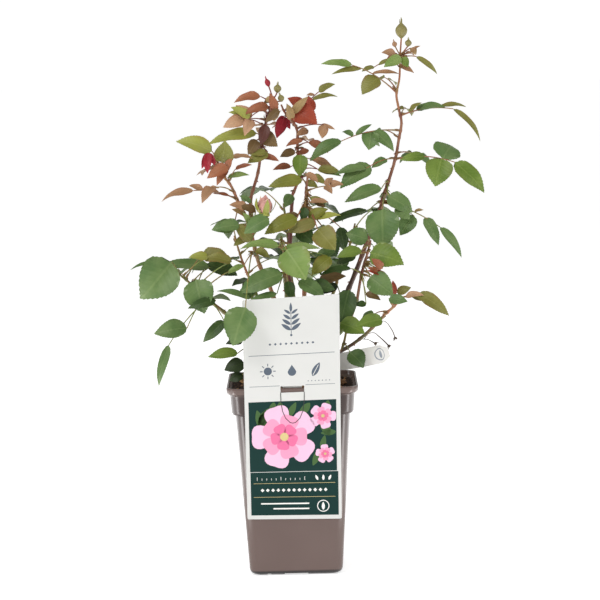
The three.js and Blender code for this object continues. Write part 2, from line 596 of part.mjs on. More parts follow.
// The masses behind have no view of their own in front, so their leaves stand round the stem by rule:
// name, tone, marks of the stem, number of leaves, reach of a leaf, length and width of its last leaflet
const backRows = [
  ['back_left_shoot', 'deep', [[-43, 56, 321.7], [-54.9, 66, 349.8],
    [-64.9, 72, 382.9]], 5, 42, [34, 24], 11],
  ['back_right_shoot', 'mid', [[55.2, 60, 328], [68.7, 74, 360], [78.3, 86, 393]], 5, 40, [34, 24], 21],
  ['back_shoot', 'deep', [[0.1, 76, 344.8], [-2.1, 98, 382.2], [-6.2, 110, 417.1]], 5, 42, [34, 24], 43],
];

const tones = {
  deep: '#2f4a22',
  mid: '#5f8248',
  bright: '#6f9433',
  pale: '#8fa866',
  olive: '#85853f',
  lime: '#a3a04a',
  bronze: '#9a6b3a',
  red_brown: '#7d3f2a',
  crimson: '#94202c',
  red: '#a8432f',
  dusk: '#5f4630',
  blush: '#bf8d70',
  pink: '#dc8f88',
};

// One leaflet: an ovate blade with a keel above and below, folded a little along its rib and arched
const longBlade = [[0.13, 0.62], [0.42, 1], [0.74, 0.66]];
const shortBlade = [[0.22, 0.84], [0.6, 0.9]];
const smallBlade = [[0.45, 1]];
const LONG = 43;              // a blade of this length or more gets the roundest outline
const SMALL = 27;

function leaflet(base, along, facing, length, width) {
  const axis = along.clone().normalize();
  const normal = facing.clone().addScaledVector(axis, -facing.dot(axis)).normalize();
  const across = normal.clone().cross(axis);
  const thick = Math.max(0.8, length / 45);
  const arch = 0.3 * length;
  const fold = 0.16;
  const root = 0.2;           // how far the base goes past the middle of the stalk
  const points = [];
  const put = (t, side, lift) => {
    points.push(base.clone()
      .addScaledVector(axis, t * length)
      .addScaledVector(across, side)
      .addScaledVector(normal, lift + arch * t * (1 - t)).toArray());
    return points.length - 1;
  };
  const start = put(-root / length, 0, 0);
  let stations = shortBlade;
  if (length >= LONG) stations = longBlade;
  if (length < SMALL) stations = smallBlade;
  const rows = stations.map(([t, share]) => {
    const half = (width / 2) * share;
    const left = put(t, half, fold * half);
    const right = put(t, -half, fold * half);
    const over = put(t, 0, thick / 2);
    const under = put(t, 0, -thick / 2);
    return { left, right, over, under };
  });
  const end = put(1, 0, 0);
  const faces = [];
  const first = rows[0];
  faces.push([start, first.left, first.over], [start, first.over, first.right]);
  faces.push([start, first.under, first.left], [start, first.right, first.under]);
  for (let i = 0; i < rows.length - 1; i += 1) {
    const a = rows[i];
    const b = rows[i + 1];
    faces.push([a.over, a.left, b.left], [a.over, b.left, b.over]);
    faces.push([a.over, b.over, b.right], [a.over, b.right, a.right]);
    faces.push([a.under, b.left, a.left], [a.under, b.under, b.left]);
    faces.push([a.under, b.right, b.under], [a.under, a.right, b.right]);
  }
  const last = rows[rows.length - 1];
  faces.push([end, last.over, last.left], [end, last.right, last.over]);
  faces.push([end, last.left, last.under], [end, last.under, last.right]);
  return solid(points, faces);
}

// One bud: a round body that narrows to the sepals' point
function makeBud(at, tip, size) {
  const [length, width] = size;
  const axis = vec(tip).normalize();
  const profile = [[-0.1, 0.14], [0.12, 0.8], [0.38, 1], [0.66, 0.56], [1, 0.05]];
  const side = new THREE.Vector3(1, 0, 0).addScaledVector(axis, -axis.x).normalize();
  const across = axis.clone().cross(side);
  const sides = 6;
  return skin(profile.map(([t, r]) => {
    const ring = [];
    for (let k = 0; k < sides; k += 1) {
      const turn = (2 * Math.PI * k) / sides;
      ring.push(vec(at)
        .addScaledVector(axis, t * length)
        .addScaledVector(side, (width / 2) * r * Math.cos(turn))
        .addScaledVector(across, (width / 2) * r * Math.sin(turn)).toArray());
    }
    return ring;
  }));
}

// The place on a stem at a height
function onStem(path, up) {
  let best = path[0];
  for (const p of path) if (Math.abs(p.z - up) < Math.abs(best.z - up)) best = p;
  return best.clone();
}

const PETIOLE = 1.05;         // radius of a leaf stalk at its foot

// A leaf with its stalk: pairs of leaflets along the stalk and one at its end
function compoundLeaf(path, row, random, look) {
  const foot = onStem(path, row.up);
  const end = vec(row.to);
  const reach = end.distanceTo(foot);
  const bend = foot.clone().lerp(end, 0.5).addScaledVector(UP, 0.14 * reach);
  const curve = new THREE.QuadraticBezierCurve3(foot, bend, end);
  const steps = reach > 45 ? 3 : 2;
  const run = curve.getPoints(steps);
  run[steps].addScaledVector(curve.getTangent(1), 0.8);     // so that the last leaflet's base is well inside
  const stalk = limb(run, [PETIOLE, 0.9], 3);
  const tilt = THREE.MathUtils.degToRad(row.face);
  const facing = new THREE.Vector3(
    Math.cos(look) * Math.sin(tilt),
    Math.sin(look) * Math.sin(tilt),
    Math.cos(tilt),
  );
  const [length, width] = row.blade;
  const blades = [leaflet(end, vec(row.tip), facing, length, width)];
  const gap = length * 0.66;
  for (let pair = 0; pair < row.pairs; pair += 1) {
    const back = Math.min(0.85, ((pair + 0.35) * gap) / Math.max(reach, 1));
    const t = Math.max(0.15, 1 - back);
    const place = curve.getPoint(t);
    const along = curve.getTangent(t).multiplyScalar(0.6).add(vec(row.tip).normalize().multiplyScalar(0.4));
    along.normalize();
    const normal = facing.clone().addScaledVector(along, -facing.dot(along)).normalize();
    const across = normal.clone().cross(along);
    for (const hand of [-1, 1]) {
      const spread = 1.05 + 0.2 * (random() - 0.5);
      const scale = (0.84 - 0.14 * pair) * (0.94 + 0.12 * random());
      const way = along.clone().multiplyScalar(Math.cos(spread)).addScaledVector(across, hand * Math.sin(spread));
      blades.push(leaflet(place, way, normal, length * scale, width * scale));
    }
  }
  for (const [share, reachOut, wide] of row.sides) {
    const way = vec(reachOut);
    blades.push(leaflet(curve.getPoint(share), way, facing, way.length(), wide));
  }
  return { stalk, blades };
}

// Rows for a mass that stands behind, its leaves turned round the stem by the golden angle
function ruleLeaves(marks, count, reach, blade, seed, tone) {
  const random = seeded(seed);
  const path = smooth(marks, 24);
  const rows = [];
  for (let i = 0; i < count; i += 1) {
    const share = (i + 0.4) / count;
    const foot = path[Math.round(share * 24)];
    const turn = seed + i * 2.4;
    const rise = 0.15 + 0.5 * share + 0.2 * (random() - 0.5);
    const far = reach * (0.85 + 0.3 * random());
    const out = new THREE.Vector3(Math.cos(turn), Math.sin(turn), 0);
    const to = foot.clone().addScaledVector(out, far * Math.cos(rise)).addScaledVector(UP, far * Math.sin(rise));
    const tip = out.clone().addScaledVector(UP, -0.45 - 0.4 * random());
    const size = 0.9 + 0.25 * random();
    const pairs = i === 2 ? 2 : 1;
    const row = leaf(foot.z, to.toArray(), tip.toArray(), blade.map((v) => v * size), pairs, 35, tone);
    row.look = turn;
    rows.push(row);
  }
  return rows;
}

// Everything is built in turn, and what comes later keeps clear of what is there

const nodes = [];
const placed = [];

function near(a, b, gap) {
  const p = a.boundingBox();
  const q = b.boundingBox();
  for (let axis = 0; axis < 3; axis += 1) {
    if (p.min[axis] - gap > q.max[axis] || q.min[axis] - gap > p.max[axis]) return false;
  }
  return a.minGap(b, gap) < gap;
}

function keep(name, body, colour, roughness) {
  nodes.push({ name, body, colour, roughness });
  placed.push({ name, body });
}

keep('pot', makePot(), '#7d6c67', 0.55);
keep('soil', makeSoil(), '#3b2a20', 1);
keep('hanging_card', makeCard(), '#e9e7e0', 0.6);

const barkColour = { tall_cane: '#7a4232', side_cane: '#6c7a3a', low_right_cane: '#6c7a3a' };
const unionPath = smooth(unionMarks, 6);
keep('bud_union', limb(unionPath, unionRadii, 12), '#6b5a3c', 0.9);
const grown = [limb(unionPath, unionRadii, 12, CLEAR)];

function clearOf(body, others) {
  let result = body;
  for (const other of others) result = result.subtract(other);
  return largest(result);
}

const canePaths = {};
for (const [name, marks, radii] of limbRows) {
  const path = smooth(marks, 3 * (marks.length - 1));
  canePaths[name] = { path, radii };
  keep(name, fuse([clearOf(limb(path, radii, 8), grown)]), barkColour[name] ?? '#5f6b34', 0.7);
  grown.push(limb(path, radii, 8, CLEAR));
}

// The stem tag: a thin strip whose foot loops round the tall cane

const tagPath = [[29.2, -1, 242.5], [43.9, -24, 241.5], [59.7, -46, 245.5], [83.2, -59, 251],
  [101.9, -65, 255.3], [110.7, -66, 257.4]];
const tagWidths = [11, 15, 20, 21, 21, 10];
const TAG_THICK = 0.6;

function makeTag() {
  const path = smooth(tagPath, 15);
  const rings = path.map((p, i) => {
    const before = path[Math.max(i - 1, 0)];
    const after = path[Math.min(i + 1, path.length - 1)];
    const along = after.clone().sub(before).normalize();
    const across = along.clone().cross(UP).normalize();
    const rise = across.clone().cross(along).normalize();
    const place = (i / (path.length - 1)) * (tagWidths.length - 1);
    const low = Math.min(Math.floor(place), tagWidths.length - 2);
    const half = (tagWidths[low] + (tagWidths[low + 1] - tagWidths[low]) * (place - low)) / 2;
    return [[-1, -1], [1, -1], [1, 1], [-1, 1]].map(([u, v]) => p.clone()
      .addScaledVector(across, (u * TAG_THICK) / 2)
      .addScaledVector(rise, v * half).toArray());
  });
  const { path: cane, radii } = canePaths.tall_cane;
  const low = onStem(cane, 242);
  const high = onStem(cane, 254);
  const band = limb([low, high], [radii[0] + 1.1, radii[0] + 1.1], 16);
  return clearOf(band.add(skin(rings)), grown);
}
keep('stem_tag', makeTag(), '#e6e2dc', 0.4);

const stems = [];
const skipped = [];
let blades = 0;
for (const [name, tone, marks, count, reach, blade, seed] of backRows) {
  massRows.push({
    name, tone, stem: marks, leaves: ruleLeaves(marks, count, reach, blade, seed, tone), buds: [],
  });
}

massRows.forEach((mass) => {
  const path = smooth(mass.stem, 2 * (mass.stem.length - 1));
  mass.path = smooth(mass.stem, 60);
  mass.stemBody = clearOf(limb(path, [1.8, 1.1], 4), grown);
  stems.push(mass.stemBody);
  grown.push(limb(path, [1.8, 1.1], 4, CLEAR));
});

massRows.forEach((mass, index) => {
  const random = seeded(100 + index);
  const others = placed.concat(stems.filter((s, i) => i !== index).map((body) => ({ name: 'stem', body })));
  const blocked = (body) => others.find((other) => near(body, other.body, CLEAR));
  const pieces = [mass.stemBody];
  mass.leaves.forEach((row, k) => {
    const { stalk, blades: leaflets } = compoundLeaf(mass.path, row, random, row.look ?? -Math.PI / 2);
    const wall = blocked(stalk);
    if (wall) {
      skipped.push(`${mass.name} leaf ${k} stalk meets ${wall.name}`);
      return;
    }
    pieces.push(stalk);
    leaflets.forEach((blade, n) => {
      const hit = blocked(blade);
      if (hit) skipped.push(`${mass.name} leaf ${k} blade ${n} meets ${hit.name}`);
      else pieces.push(blade);
      blades += 1;
    });
  });
  mass.buds.forEach((row, k) => {
    const foot = onStem(mass.path, row.up);
    const stalk = limb([foot, vec(row.at)], [0.95, 0.95], 4);
    const body = makeBud(row.at, row.tip, row.size);
    const hit = blocked(stalk) ?? blocked(body);
    if (hit) skipped.push(`${mass.name} bud ${k} meets ${hit.name}`);
    else pieces.push(stalk, body);
  });
  keep(mass.name, fuse(pieces), tones[mass.tone], 0.6);
});

// The group of named meshes

const rose = new THREE.Group();
rose.name = 'rose_bush';
for (const { name, body, colour, roughness } of nodes) {
  const mesh = body.getMesh();
  const geometry = new THREE.BufferGeometry();
  const positions = new Float32Array(mesh.numVert * 3);
  for (let i = 0; i < mesh.numVert; i += 1) {
    for (let axis = 0; axis < 3; axis += 1) {
      positions[3 * i + axis] = mesh.vertProperties[i * mesh.numProp + axis];
    }
  }
  geometry.setAttribute('position', new THREE.BufferAttribute(positions, 3));
  geometry.setIndex(new THREE.BufferAttribute(new Uint32Array(mesh.triVerts), 1));
  geometry.computeVertexNormals();
  const material = new THREE.MeshStandardMaterial({ color: colour, roughness });
  material.name = name;
  const part = new THREE.Mesh(geometry, material);
  part.name = name;
  rose.add(part);
}
rose.userData.skipped = skipped;
rose.userData.blades = blades;

export default rose;
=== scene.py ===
# %% [markdown]
# # A young rose bush in its nursery pot
# A rose is sold as a few thin canes that rise from a knobbly graft, in a deep square pot, with a card
# hooked over the rim. The fixed model gives every piece its place and size. This lesson gives each one
# the surface and the fine shape of the real thing, in the same frame and in metres.

# %% Load the fixed model
import json
import math

import bmesh
import bpy
import numpy as np
from mathutils import Matrix, Vector


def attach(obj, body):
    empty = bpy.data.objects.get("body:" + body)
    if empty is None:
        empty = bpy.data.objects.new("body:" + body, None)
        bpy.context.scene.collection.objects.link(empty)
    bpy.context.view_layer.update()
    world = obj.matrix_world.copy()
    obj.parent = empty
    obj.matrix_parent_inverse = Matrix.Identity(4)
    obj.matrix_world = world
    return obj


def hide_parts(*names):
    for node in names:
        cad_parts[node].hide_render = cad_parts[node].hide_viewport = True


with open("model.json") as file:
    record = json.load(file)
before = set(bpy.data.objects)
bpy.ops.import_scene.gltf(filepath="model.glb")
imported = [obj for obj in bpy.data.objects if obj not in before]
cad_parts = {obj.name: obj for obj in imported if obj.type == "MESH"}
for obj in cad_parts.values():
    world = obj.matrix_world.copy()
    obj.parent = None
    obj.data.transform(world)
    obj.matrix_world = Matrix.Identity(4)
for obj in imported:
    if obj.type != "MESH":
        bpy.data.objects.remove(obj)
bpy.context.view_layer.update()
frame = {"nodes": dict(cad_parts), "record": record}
MM = 0.001
UP = Vector((0, 0, 1))
print("fixed nodes:", len(frame["nodes"]))

# %% [markdown]
# ## Camera, floor and light
# The plant was photographed from three metres with a long lens, a little from above, so the pot shows
# hardly any perspective. The camera repeats that. A pale floor and a white surround give the even light
# of a studio, and four soft lamps model the leaves. The pot's walls lean out, so they mirror the floor:
# light panels that lie on it, seen only in glossy skins, draw the bright lines on the pot's corners.

# %% Camera
IMAGE_SIDE = 600             # pixels along each side of the picture
FOCAL_PIXELS = 2608.9        # focal length as a count of those pixels
SENSOR_WIDE = 36             # millimetres
CAMERA_PLACE = Vector((0.011, -3.0, 0.6185))
CAMERA_DOWN = math.radians(5.831)
CAMERA_ROLL = math.radians(-1.286)

bpy.ops.object.camera_add(location=CAMERA_PLACE)
camera = bpy.context.object
camera.name = "photo_camera"
aim = Matrix.Rotation(math.pi / 2 - CAMERA_DOWN, 4, "X") @ Matrix.Rotation(CAMERA_ROLL, 4, "Z")
camera.rotation_euler = aim.to_euler()
camera.data.sensor_width = SENSOR_WIDE
camera.data.lens = SENSOR_WIDE * FOCAL_PIXELS / IMAGE_SIDE
camera.data.clip_end = 100
bpy.context.scene.camera = camera
print("lens in mm:", round(camera.data.lens, 1))

# %% Floor and surround
FLOOR_REACH = 30             # radius of the floor in metres, so that its edge is lost in the white
bpy.ops.mesh.primitive_circle_add(vertices=96, radius=FLOOR_REACH, fill_type="NGON", location=(0, 0, 0))
floor = bpy.context.object
floor.name = "studio_floor"

world = bpy.data.worlds.new("studio_surround")
bpy.context.scene.world = world
world.use_nodes = True
surround = world.node_tree.nodes["Background"]
surround.inputs["Color"].default_value = (1, 1, 1, 1)
SEEN_STRENGTH = 1.05         # the white that the picture shows behind the plant
LIT_STRENGTH = 0.42          # the softer white that lights it
seen = world.node_tree.nodes.new("ShaderNodeLightPath")
strength = world.node_tree.nodes.new("ShaderNodeMapRange")
strength.inputs["To Min"].default_value = LIT_STRENGTH
strength.inputs["To Max"].default_value = SEEN_STRENGTH
world.node_tree.links.new(seen.outputs["Is Camera Ray"], strength.inputs["Value"])
world.node_tree.links.new(strength.outputs["Result"], surround.inputs["Strength"])

bpy.context.scene.view_settings.view_transform = "Standard"

# %% Lamps and light panels


def soft_lamp(name, place, target, width, height, power):
    bpy.ops.object.light_add(type="AREA", location=place)
    lamp = bpy.context.object
    lamp.name = name
    lamp.data.shape = "RECTANGLE"
    lamp.data.size = width
    lamp.data.size_y = height
    lamp.data.energy = power
    way = Vector(target) - Vector(place)
    lamp.rotation_euler = way.to_track_quat("-Z", "Y").to_euler()
    return lamp


PLANT_MIDDLE = (0, 0, 0.32)
lamps = [
    ("key_lamp", (-1.1, -1.9, 2.1), 1.0, 1.0, 25),
    ("right_lamp", (2.0, -0.9, 0.9), 0.3, 2.0, 12),
    ("left_lamp", (-2.0, -0.9, 0.7), 0.3, 2.0, 12),
    ("back_lamp", (0.6, 2.2, 1.9), 1.4, 1.4, 9),
]
for name, place, width, height, power in lamps:
    soft_lamp(name, place, PLANT_MIDDLE, width, height, power)

PANEL_LEVEL = 0.004          # metres: the panels lie just above the floor and shine straight up
panels = [("table_lamp", 0.66, 0.08, 0.84, 0.94, 4.4, 0), ("corner_strip", 0.47, -0.35, 0.14, 0.8, 2.3, 54)]
for side in (-1, 1):
    for name, x, y, width, height, power, swivel in panels:
        panel = soft_lamp(name, (side * x, y, PANEL_LEVEL), (side * x, y, 1), width, height, power)
        panel.rotation_euler.z += side * math.radians(swivel)
        panel.visible_camera = False
        panel.visible_diffuse = False
print("lamps:", len(lamps), "panels:", 2 * len(panels))

# %% [markdown]
# ## Small tools
# Each tool does one step that a modeller does by hand: clear the selection, pick faces or edges by their
# place, apply a modifier, or hand a finished piece to the frame. They keep the later cells short.

# %% Modelling tools


def close_edit():
    bpy.ops.object.mode_set(mode="OBJECT")


def clear_selection():
    if bpy.context.mode != "OBJECT":
        close_edit()
    bpy.ops.object.select_all(action="DESELECT")


def take(piece):
    """Makes a piece the only selected and the active one."""
    clear_selection()
    piece.select_set(True)
    bpy.context.view_layer.objects.active = piece


def open_edit(piece):
    """Opens a piece in edit mode, with all of it selected."""
    take(piece)
    bpy.ops.object.mode_set(mode="EDIT")
    bpy.ops.mesh.select_all(action="SELECT")


def face_outwards():
    """In edit mode: turns every face of the piece outwards."""
    bpy.ops.mesh.select_all(action="SELECT")
    bpy.ops.mesh.normals_make_consistent(inside=False)


def new_piece(name):
    """Names the primitive that was just added, and applies its place and scale."""
    piece = bpy.context.object
    piece.name = name
    piece.data.name = name
    take(piece)
    bpy.ops.object.transform_apply(location=True, rotation=True, scale=True)
    return piece


def pick(piece, kind, test):
    """In edit mode: selects just the vertices, edges or faces whose middle passes the test."""
    bpy.ops.mesh.select_mode(type=kind)
    bpy.ops.mesh.select_all(action="DESELECT")
    shape = bmesh.from_edit_mesh(piece.data)
    group = {"VERT": shape.verts, "EDGE": shape.edges, "FACE": shape.faces}[kind]
    for part in group:
        if kind == "VERT":
            middle = part.co
        elif kind == "EDGE":
            middle = (part.verts[0].co + part.verts[1].co) / 2
        else:
            middle = part.calc_center_median()
        if test(middle, part):
            part.select_set(True)
    shape.select_flush_mode()
    bmesh.update_edit_mesh(piece.data)


def apply_modifier(piece, kind, **settings):
    take(piece)
    modifier = piece.modifiers.new(kind.lower(), kind)
    for key, value in settings.items():
        setattr(modifier, key, value)
    bpy.ops.object.modifier_apply(modifier=modifier.name)


def cut_away(piece, cutter):
    apply_modifier(piece, "BOOLEAN", object=cutter, operation="DIFFERENCE", solver="EXACT")
    bpy.data.objects.remove(cutter)


def roughen(piece, texture, millimetres):
    apply_modifier(piece, "DISPLACE", texture=texture, texture_coords="LOCAL",
                   strength=millimetres * MM, mid_level=0.5)


def smooth_below(piece, degrees):
    take(piece)
    bpy.ops.object.shade_smooth_by_angle(angle=math.radians(degrees))


def join_pieces(name, parts):
    clear_selection()
    for part in parts:
        part.select_set(True)
    bpy.context.view_layer.objects.active = parts[0]
    bpy.ops.object.join()
    piece = bpy.context.object
    piece.name = name
    piece.data.name = name
    return piece


def hand_over(piece, materials, slot, *nodes):
    """Gives a piece its materials, lets it ride on the plant and stand for its nodes."""
    for material in materials:
        piece.data.materials.append(material)
    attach(piece, "root")
    if nodes:
        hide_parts(*nodes)
    print(piece.name, "faces:", len(piece.data.polygons))


def seeded(seed):
    """A small number generator, so that every run draws the same numbers."""
    state = seed

    def draw():
        nonlocal state
        state = (state * 1664525 + 1013904223) % 4294967296
        return state / 4294967296

    return draw


# %% [markdown]
# ## Finishes
# Every finish is a Principled shader whose colour and fine relief come from noise in the piece's own
# space. Photographs of surfaces are not used, so each finish can be tuned by a few numbers. A helper starts
# a material and another adds a noise, because nearly every finish needs both.

# %% Material tools


def linear(code):
    """A colour such as 7d6c67 as the linear light that shaders work in, by the rule for screen colours."""
    parts = [int(code[k:k + 2], 16) / 255 for k in (0, 2, 4)]
    return [p / 12.92 if p <= 0.04045 else ((p + 0.055) / 1.055) ** 2.4 for p in parts] + [1]


class Finish:
    """A material with its shader, and short ways to add the nodes that this rose needs."""

    def __init__(self, name, colour, roughness, specular=0.5):
        self.material = bpy.data.materials.new(name)
        self.material.use_nodes = True
        self.tree = self.material.node_tree
        self.shader = self.tree.nodes["Principled BSDF"]
        self.shader.inputs["Base Color"].default_value = linear(colour)
        self.shader.inputs["Roughness"].default_value = roughness
        self.shader.inputs["Specular IOR Level"].default_value = specular
        self.place = self.node("ShaderNodeTexCoord").outputs["Object"]

    def node(self, kind, **settings):
        made = self.tree.nodes.new(kind)
        for key, value in settings.items():
            setattr(made, key, value)
        return made

    def link(self, source, target):
        self.tree.links.new(source, target)

    def noise(self, scale, detail=3, stretch=(1, 1, 1)):
        """Noise with a grain of about one over scale metres, stretched where the grain runs."""
        mapping = self.node("ShaderNodeMapping")
        mapping.inputs["Scale"].default_value = stretch
        self.link(self.place, mapping.inputs["Vector"])
        made = self.node("ShaderNodeTexNoise")
        made.inputs["Scale"].default_value = scale
        made.inputs["Detail"].default_value = detail
        self.link(mapping.outputs["Vector"], made.inputs["Vector"])
        return made.outputs["Fac"]

    def math(self, operation, first, second=0.0):
        made = self.node("ShaderNodeMath", operation=operation)
        for socket, value in zip(made.inputs, (first, second)):
            if isinstance(value, (int, float)):
                socket.default_value = value
            else:
                self.link(value, socket)
        return made.outputs["Value"]

    def level(self):
        """The height of a place in the frame, in metres."""
        parts = self.node("ShaderNodeSeparateXYZ")
        self.link(self.place, parts.inputs["Vector"])
        return parts.outputs["Z"]

    def span(self, value, low, high, to_low=0.0, to_high=1.0):
        """Maps low..high smoothly to to_low..to_high."""
        made = self.node("ShaderNodeMapRange", interpolation_type="SMOOTHSTEP")
        self.link(value, made.inputs["Value"])
        for key, number in (("From Min", low), ("From Max", high), ("To Min", to_low), ("To Max", to_high)):
            made.inputs[key].default_value = number
        return made.outputs["Result"]

    def mix(self, share, first, second):
        """Mixes two colours. Each is a colour code or another node's output."""
        made = self.node("ShaderNodeMix", data_type="RGBA")
        self.link(share, made.inputs[0])
        for socket, value in ((made.inputs[6], first), (made.inputs[7], second)):
            if isinstance(value, str):
                socket.default_value = linear(value)
            else:
                self.link(value, socket)
        return made.outputs[2]

    def colour(self, value):
        self.link(value, self.shader.inputs["Base Color"])

    def relief(self, height, millimetres, strength=0.5):
        made = self.node("ShaderNodeBump")
        made.inputs["Strength"].default_value = strength
        made.inputs["Distance"].default_value = millimetres * MM
        self.link(height, made.inputs["Height"])
        self.link(made.outputs["Normal"], self.shader.inputs["Normal"])


def mottled(name, low, high, roughness, specular, scale, detail):
    """A finish whose colour wanders between two tints."""
    finish = Finish(name, low, roughness, specular)
    finish.colour(finish.mix(finish.noise(scale, detail), low, high))
    return finish


FLOOR_GLOW = 0.62            # the floor shines a little itself, so that it stays white round the foot
floor_finish = mottled("studio_floor_paint", "f6f6f6", "f9f9f9", 0.9, 0.1, 2, 1)
floor_finish.shader.inputs["Emission Color"].default_value = (1, 1, 1, 1)
floor_finish.shader.inputs["Emission Strength"].default_value = FLOOR_GLOW
floor.data.materials.append(floor_finish.material)

# %% [markdown]
# ## The pot
# The pot is moulded thin from recycled plastic, and its lip, collar and body step in one below the
# other. A lathe can't make a square pot. Here a block gets its four upright edges rounded, and its top
# face is then extruded up the outside profile, turned in over the lip and extruded down the inside, which
# gives wall, lip and floor in one closed skin.

# %% Pot: profile in millimetres, as half widths and heights
RIM_TOP = 220
SOIL_TOP = 213
FOOT_CORNER = 8              # radius of the upright edges at the foot
pot_outside = [(44.5, 0), (48.2, 0.6), (51.2, 2.4), (53, 5), (53.7, 8.4), (65.2, 187), (68, 188.4),
               (69.3, 190.6), (70.8, 210.6), (71.8, 211.8), (73.8, 212.9), (74.5, 214), (75, 218.6),
               (74.8, 219.6), (74.2, RIM_TOP)]
pot_inside = [(73, RIM_TOP), (72.7, 219.6), (72.5, 214.5), (69.1, 211.5), (67.6, 190.5), (63.5, 187),
              (52.2, 10.5), (46.5, 4)]


def square_block(name, half, low, high, corner, segments):
    """A block with rounded upright edges, in edit mode with its top face selected."""
    clear_selection()
    bpy.ops.mesh.primitive_cube_add(size=1, location=(0, 0, (low + high) / 2 * MM),
                                    scale=(2 * half * MM, 2 * half * MM, (high - low) * MM))
    block = new_piece(name)
    open_edit(block)
    pick(block, "EDGE", lambda m, e: abs(e.verts[0].co.z - e.verts[1].co.z) > 0.5 * (high - low) * MM)
    bpy.ops.mesh.bevel(offset=corner * MM, segments=segments, affect="EDGES")
    pick(block, "FACE", lambda m, f: f.normal.z > 0.9)
    return block


def extrude_profile(levels, extrude):
    """Carries the selected faces or edges through a list of half widths and heights."""
    for (half, height), (next_half, next_height) in zip(levels, levels[1:]):
        extrude(TRANSFORM_OT_translate={"value": (0, 0, (next_height - height) * MM)})
        share = next_half / half
        bpy.ops.transform.resize(value=(share, share, 1))


foot_half = pot_outside[0][0]
first_level = pot_outside[1][1]
pot = square_block("pot_shell", foot_half, 0, first_level, FOOT_CORNER, 8)
pot_levels = [(foot_half, first_level)] + pot_outside[1:] + pot_inside
extrude_profile(pot_levels, bpy.ops.mesh.extrude_region_move)
close_edit()

# %% Pot: drain notches in each side, then soft edges
NOTCH_SIZES = ((0, 27, 2.8), (-31, 4, 2))    # middle, width and height in millimetres
NOTCH_PLACE = 53.5           # how far out from the pot's middle the cutters stand
NOTCH_DEEP = 26
notches = []
for side in range(4):
    for middle, wide, high in NOTCH_SIZES:
        clear_selection()
        place = (middle * MM, -NOTCH_PLACE * MM, (high / 2 - 0.5) * MM)
        bpy.ops.mesh.primitive_cube_add(size=1, location=place,
                                        scale=(wide * MM, NOTCH_DEEP * MM, (high + 1) * MM))
        notch = new_piece("notch")
        notch.data.transform(Matrix.Rotation(side * math.pi / 2, 4, "Z"))
        notches.append(notch)
cutter = join_pieces("notch_cutter", notches)
cut_away(pot, cutter)
apply_modifier(pot, "BEVEL", width=0.45 * MM, segments=2, limit_method="ANGLE", angle_limit=math.radians(28))
smooth_below(pot, 32)
print("pot faces:", len(pot.data.polygons), "notches:", len(notches))

# %% [markdown]
# ## The pot's plastic
# Moulded plastic has a satin skin with a thin gloss over it, which a coat gives. Painted shade darkens the
# walls upwards to just under the lip, for the shade of the card and the leaves, and the rim keeps the plain
# colour. A painted shadow line darkens the foot where it meets the floor. All three follow the height, so
# the height itself drives the mix.

# %% Pot: satin taupe plastic
SHADE_GROWS = (50, 190)       # heights in millimetres over which painted shade grows up the walls
SHADE_ENDS_AT_RIM = (208, 214)        # heights between which that painted shade ends under the rim
FOOT_SHADOW_FADES = (4, 7)         # heights between which the painted shadow line along the foot ends
taupe = Finish("satin_taupe_plastic", "5e4e4a", 0.27, 0.3)
taupe.shader.inputs["Coat Weight"].default_value = 0.45
taupe.shader.inputs["Coat Roughness"].default_value = 0.14
plastic_mottle = taupe.mix(taupe.span(taupe.noise(14, 1), 0.3, 0.75), "624f49", "67544e")
level = taupe.level()
shade_rises = taupe.span(level, SHADE_GROWS[0] * MM, SHADE_GROWS[1] * MM)
below_rim = taupe.span(level, SHADE_ENDS_AT_RIM[0] * MM, SHADE_ENDS_AT_RIM[1] * MM, 1, 0)
painted_shade = taupe.math("MULTIPLY", shade_rises, below_rim)
painted_foot_shadow = taupe.span(level, FOOT_SHADOW_FADES[0] * MM, FOOT_SHADOW_FADES[1] * MM, 1, 0)
# 3b2a26 is painted shade on the walls under the lip; 120c0a is a painted shadow line where the foot meets
# the floor.
taupe.colour(taupe.mix(painted_foot_shadow, taupe.mix(painted_shade, plastic_mottle, "3b2a26"), "120c0a"))
taupe.relief(taupe.noise(700, 2), 0.03, 0.25)
hand_over(pot, [taupe.material], "pot", "pot")

# %% [markdown]
# ## The potting mix
# Fresh mix lies a finger's breadth under the rim: dark, crumbly and strewn with strips of orange-brown
# bark. A grid is laid at that level, its corners drawn in to the pot's rounded square, and its points are
# raised and sunk by a few sine waves of unlike lengths, which is cheap and repeats exactly. The edge is
# then extruded down to the pot's floor.

# %% Potting mix: a crumbly top on a closed block
GRID = 72
MIX_HALF = 69.8              # half the side of the mix at its top, in millimetres
CORNER_DRAW = 0.055          # share by which the corners are drawn in, as the pot's corners are round
DIAGONAL_MORE = 0.41421      # how much farther off a square's corner is than its side
CALM_EDGE = 12               # how fast the crumbs grow in from the edge
SUNK_TOP = 0.6               # millimetres


def crumble(x, y):
    """Height in millimetres of the mix at a place given in millimetres."""
    broad = 0.9 * math.sin(0.11 * x + 0.7) * math.sin(0.13 * y + 0.3)
    middling = 0.8 * math.sin(0.41 * x + 0.23 * y) * math.sin(0.37 * y - 0.19 * x)
    fine = 0.7 * math.sin(1.13 * x + 0.5 * math.sin(0.9 * y)) * math.sin(1.27 * y + 1.1)
    return broad + middling + fine


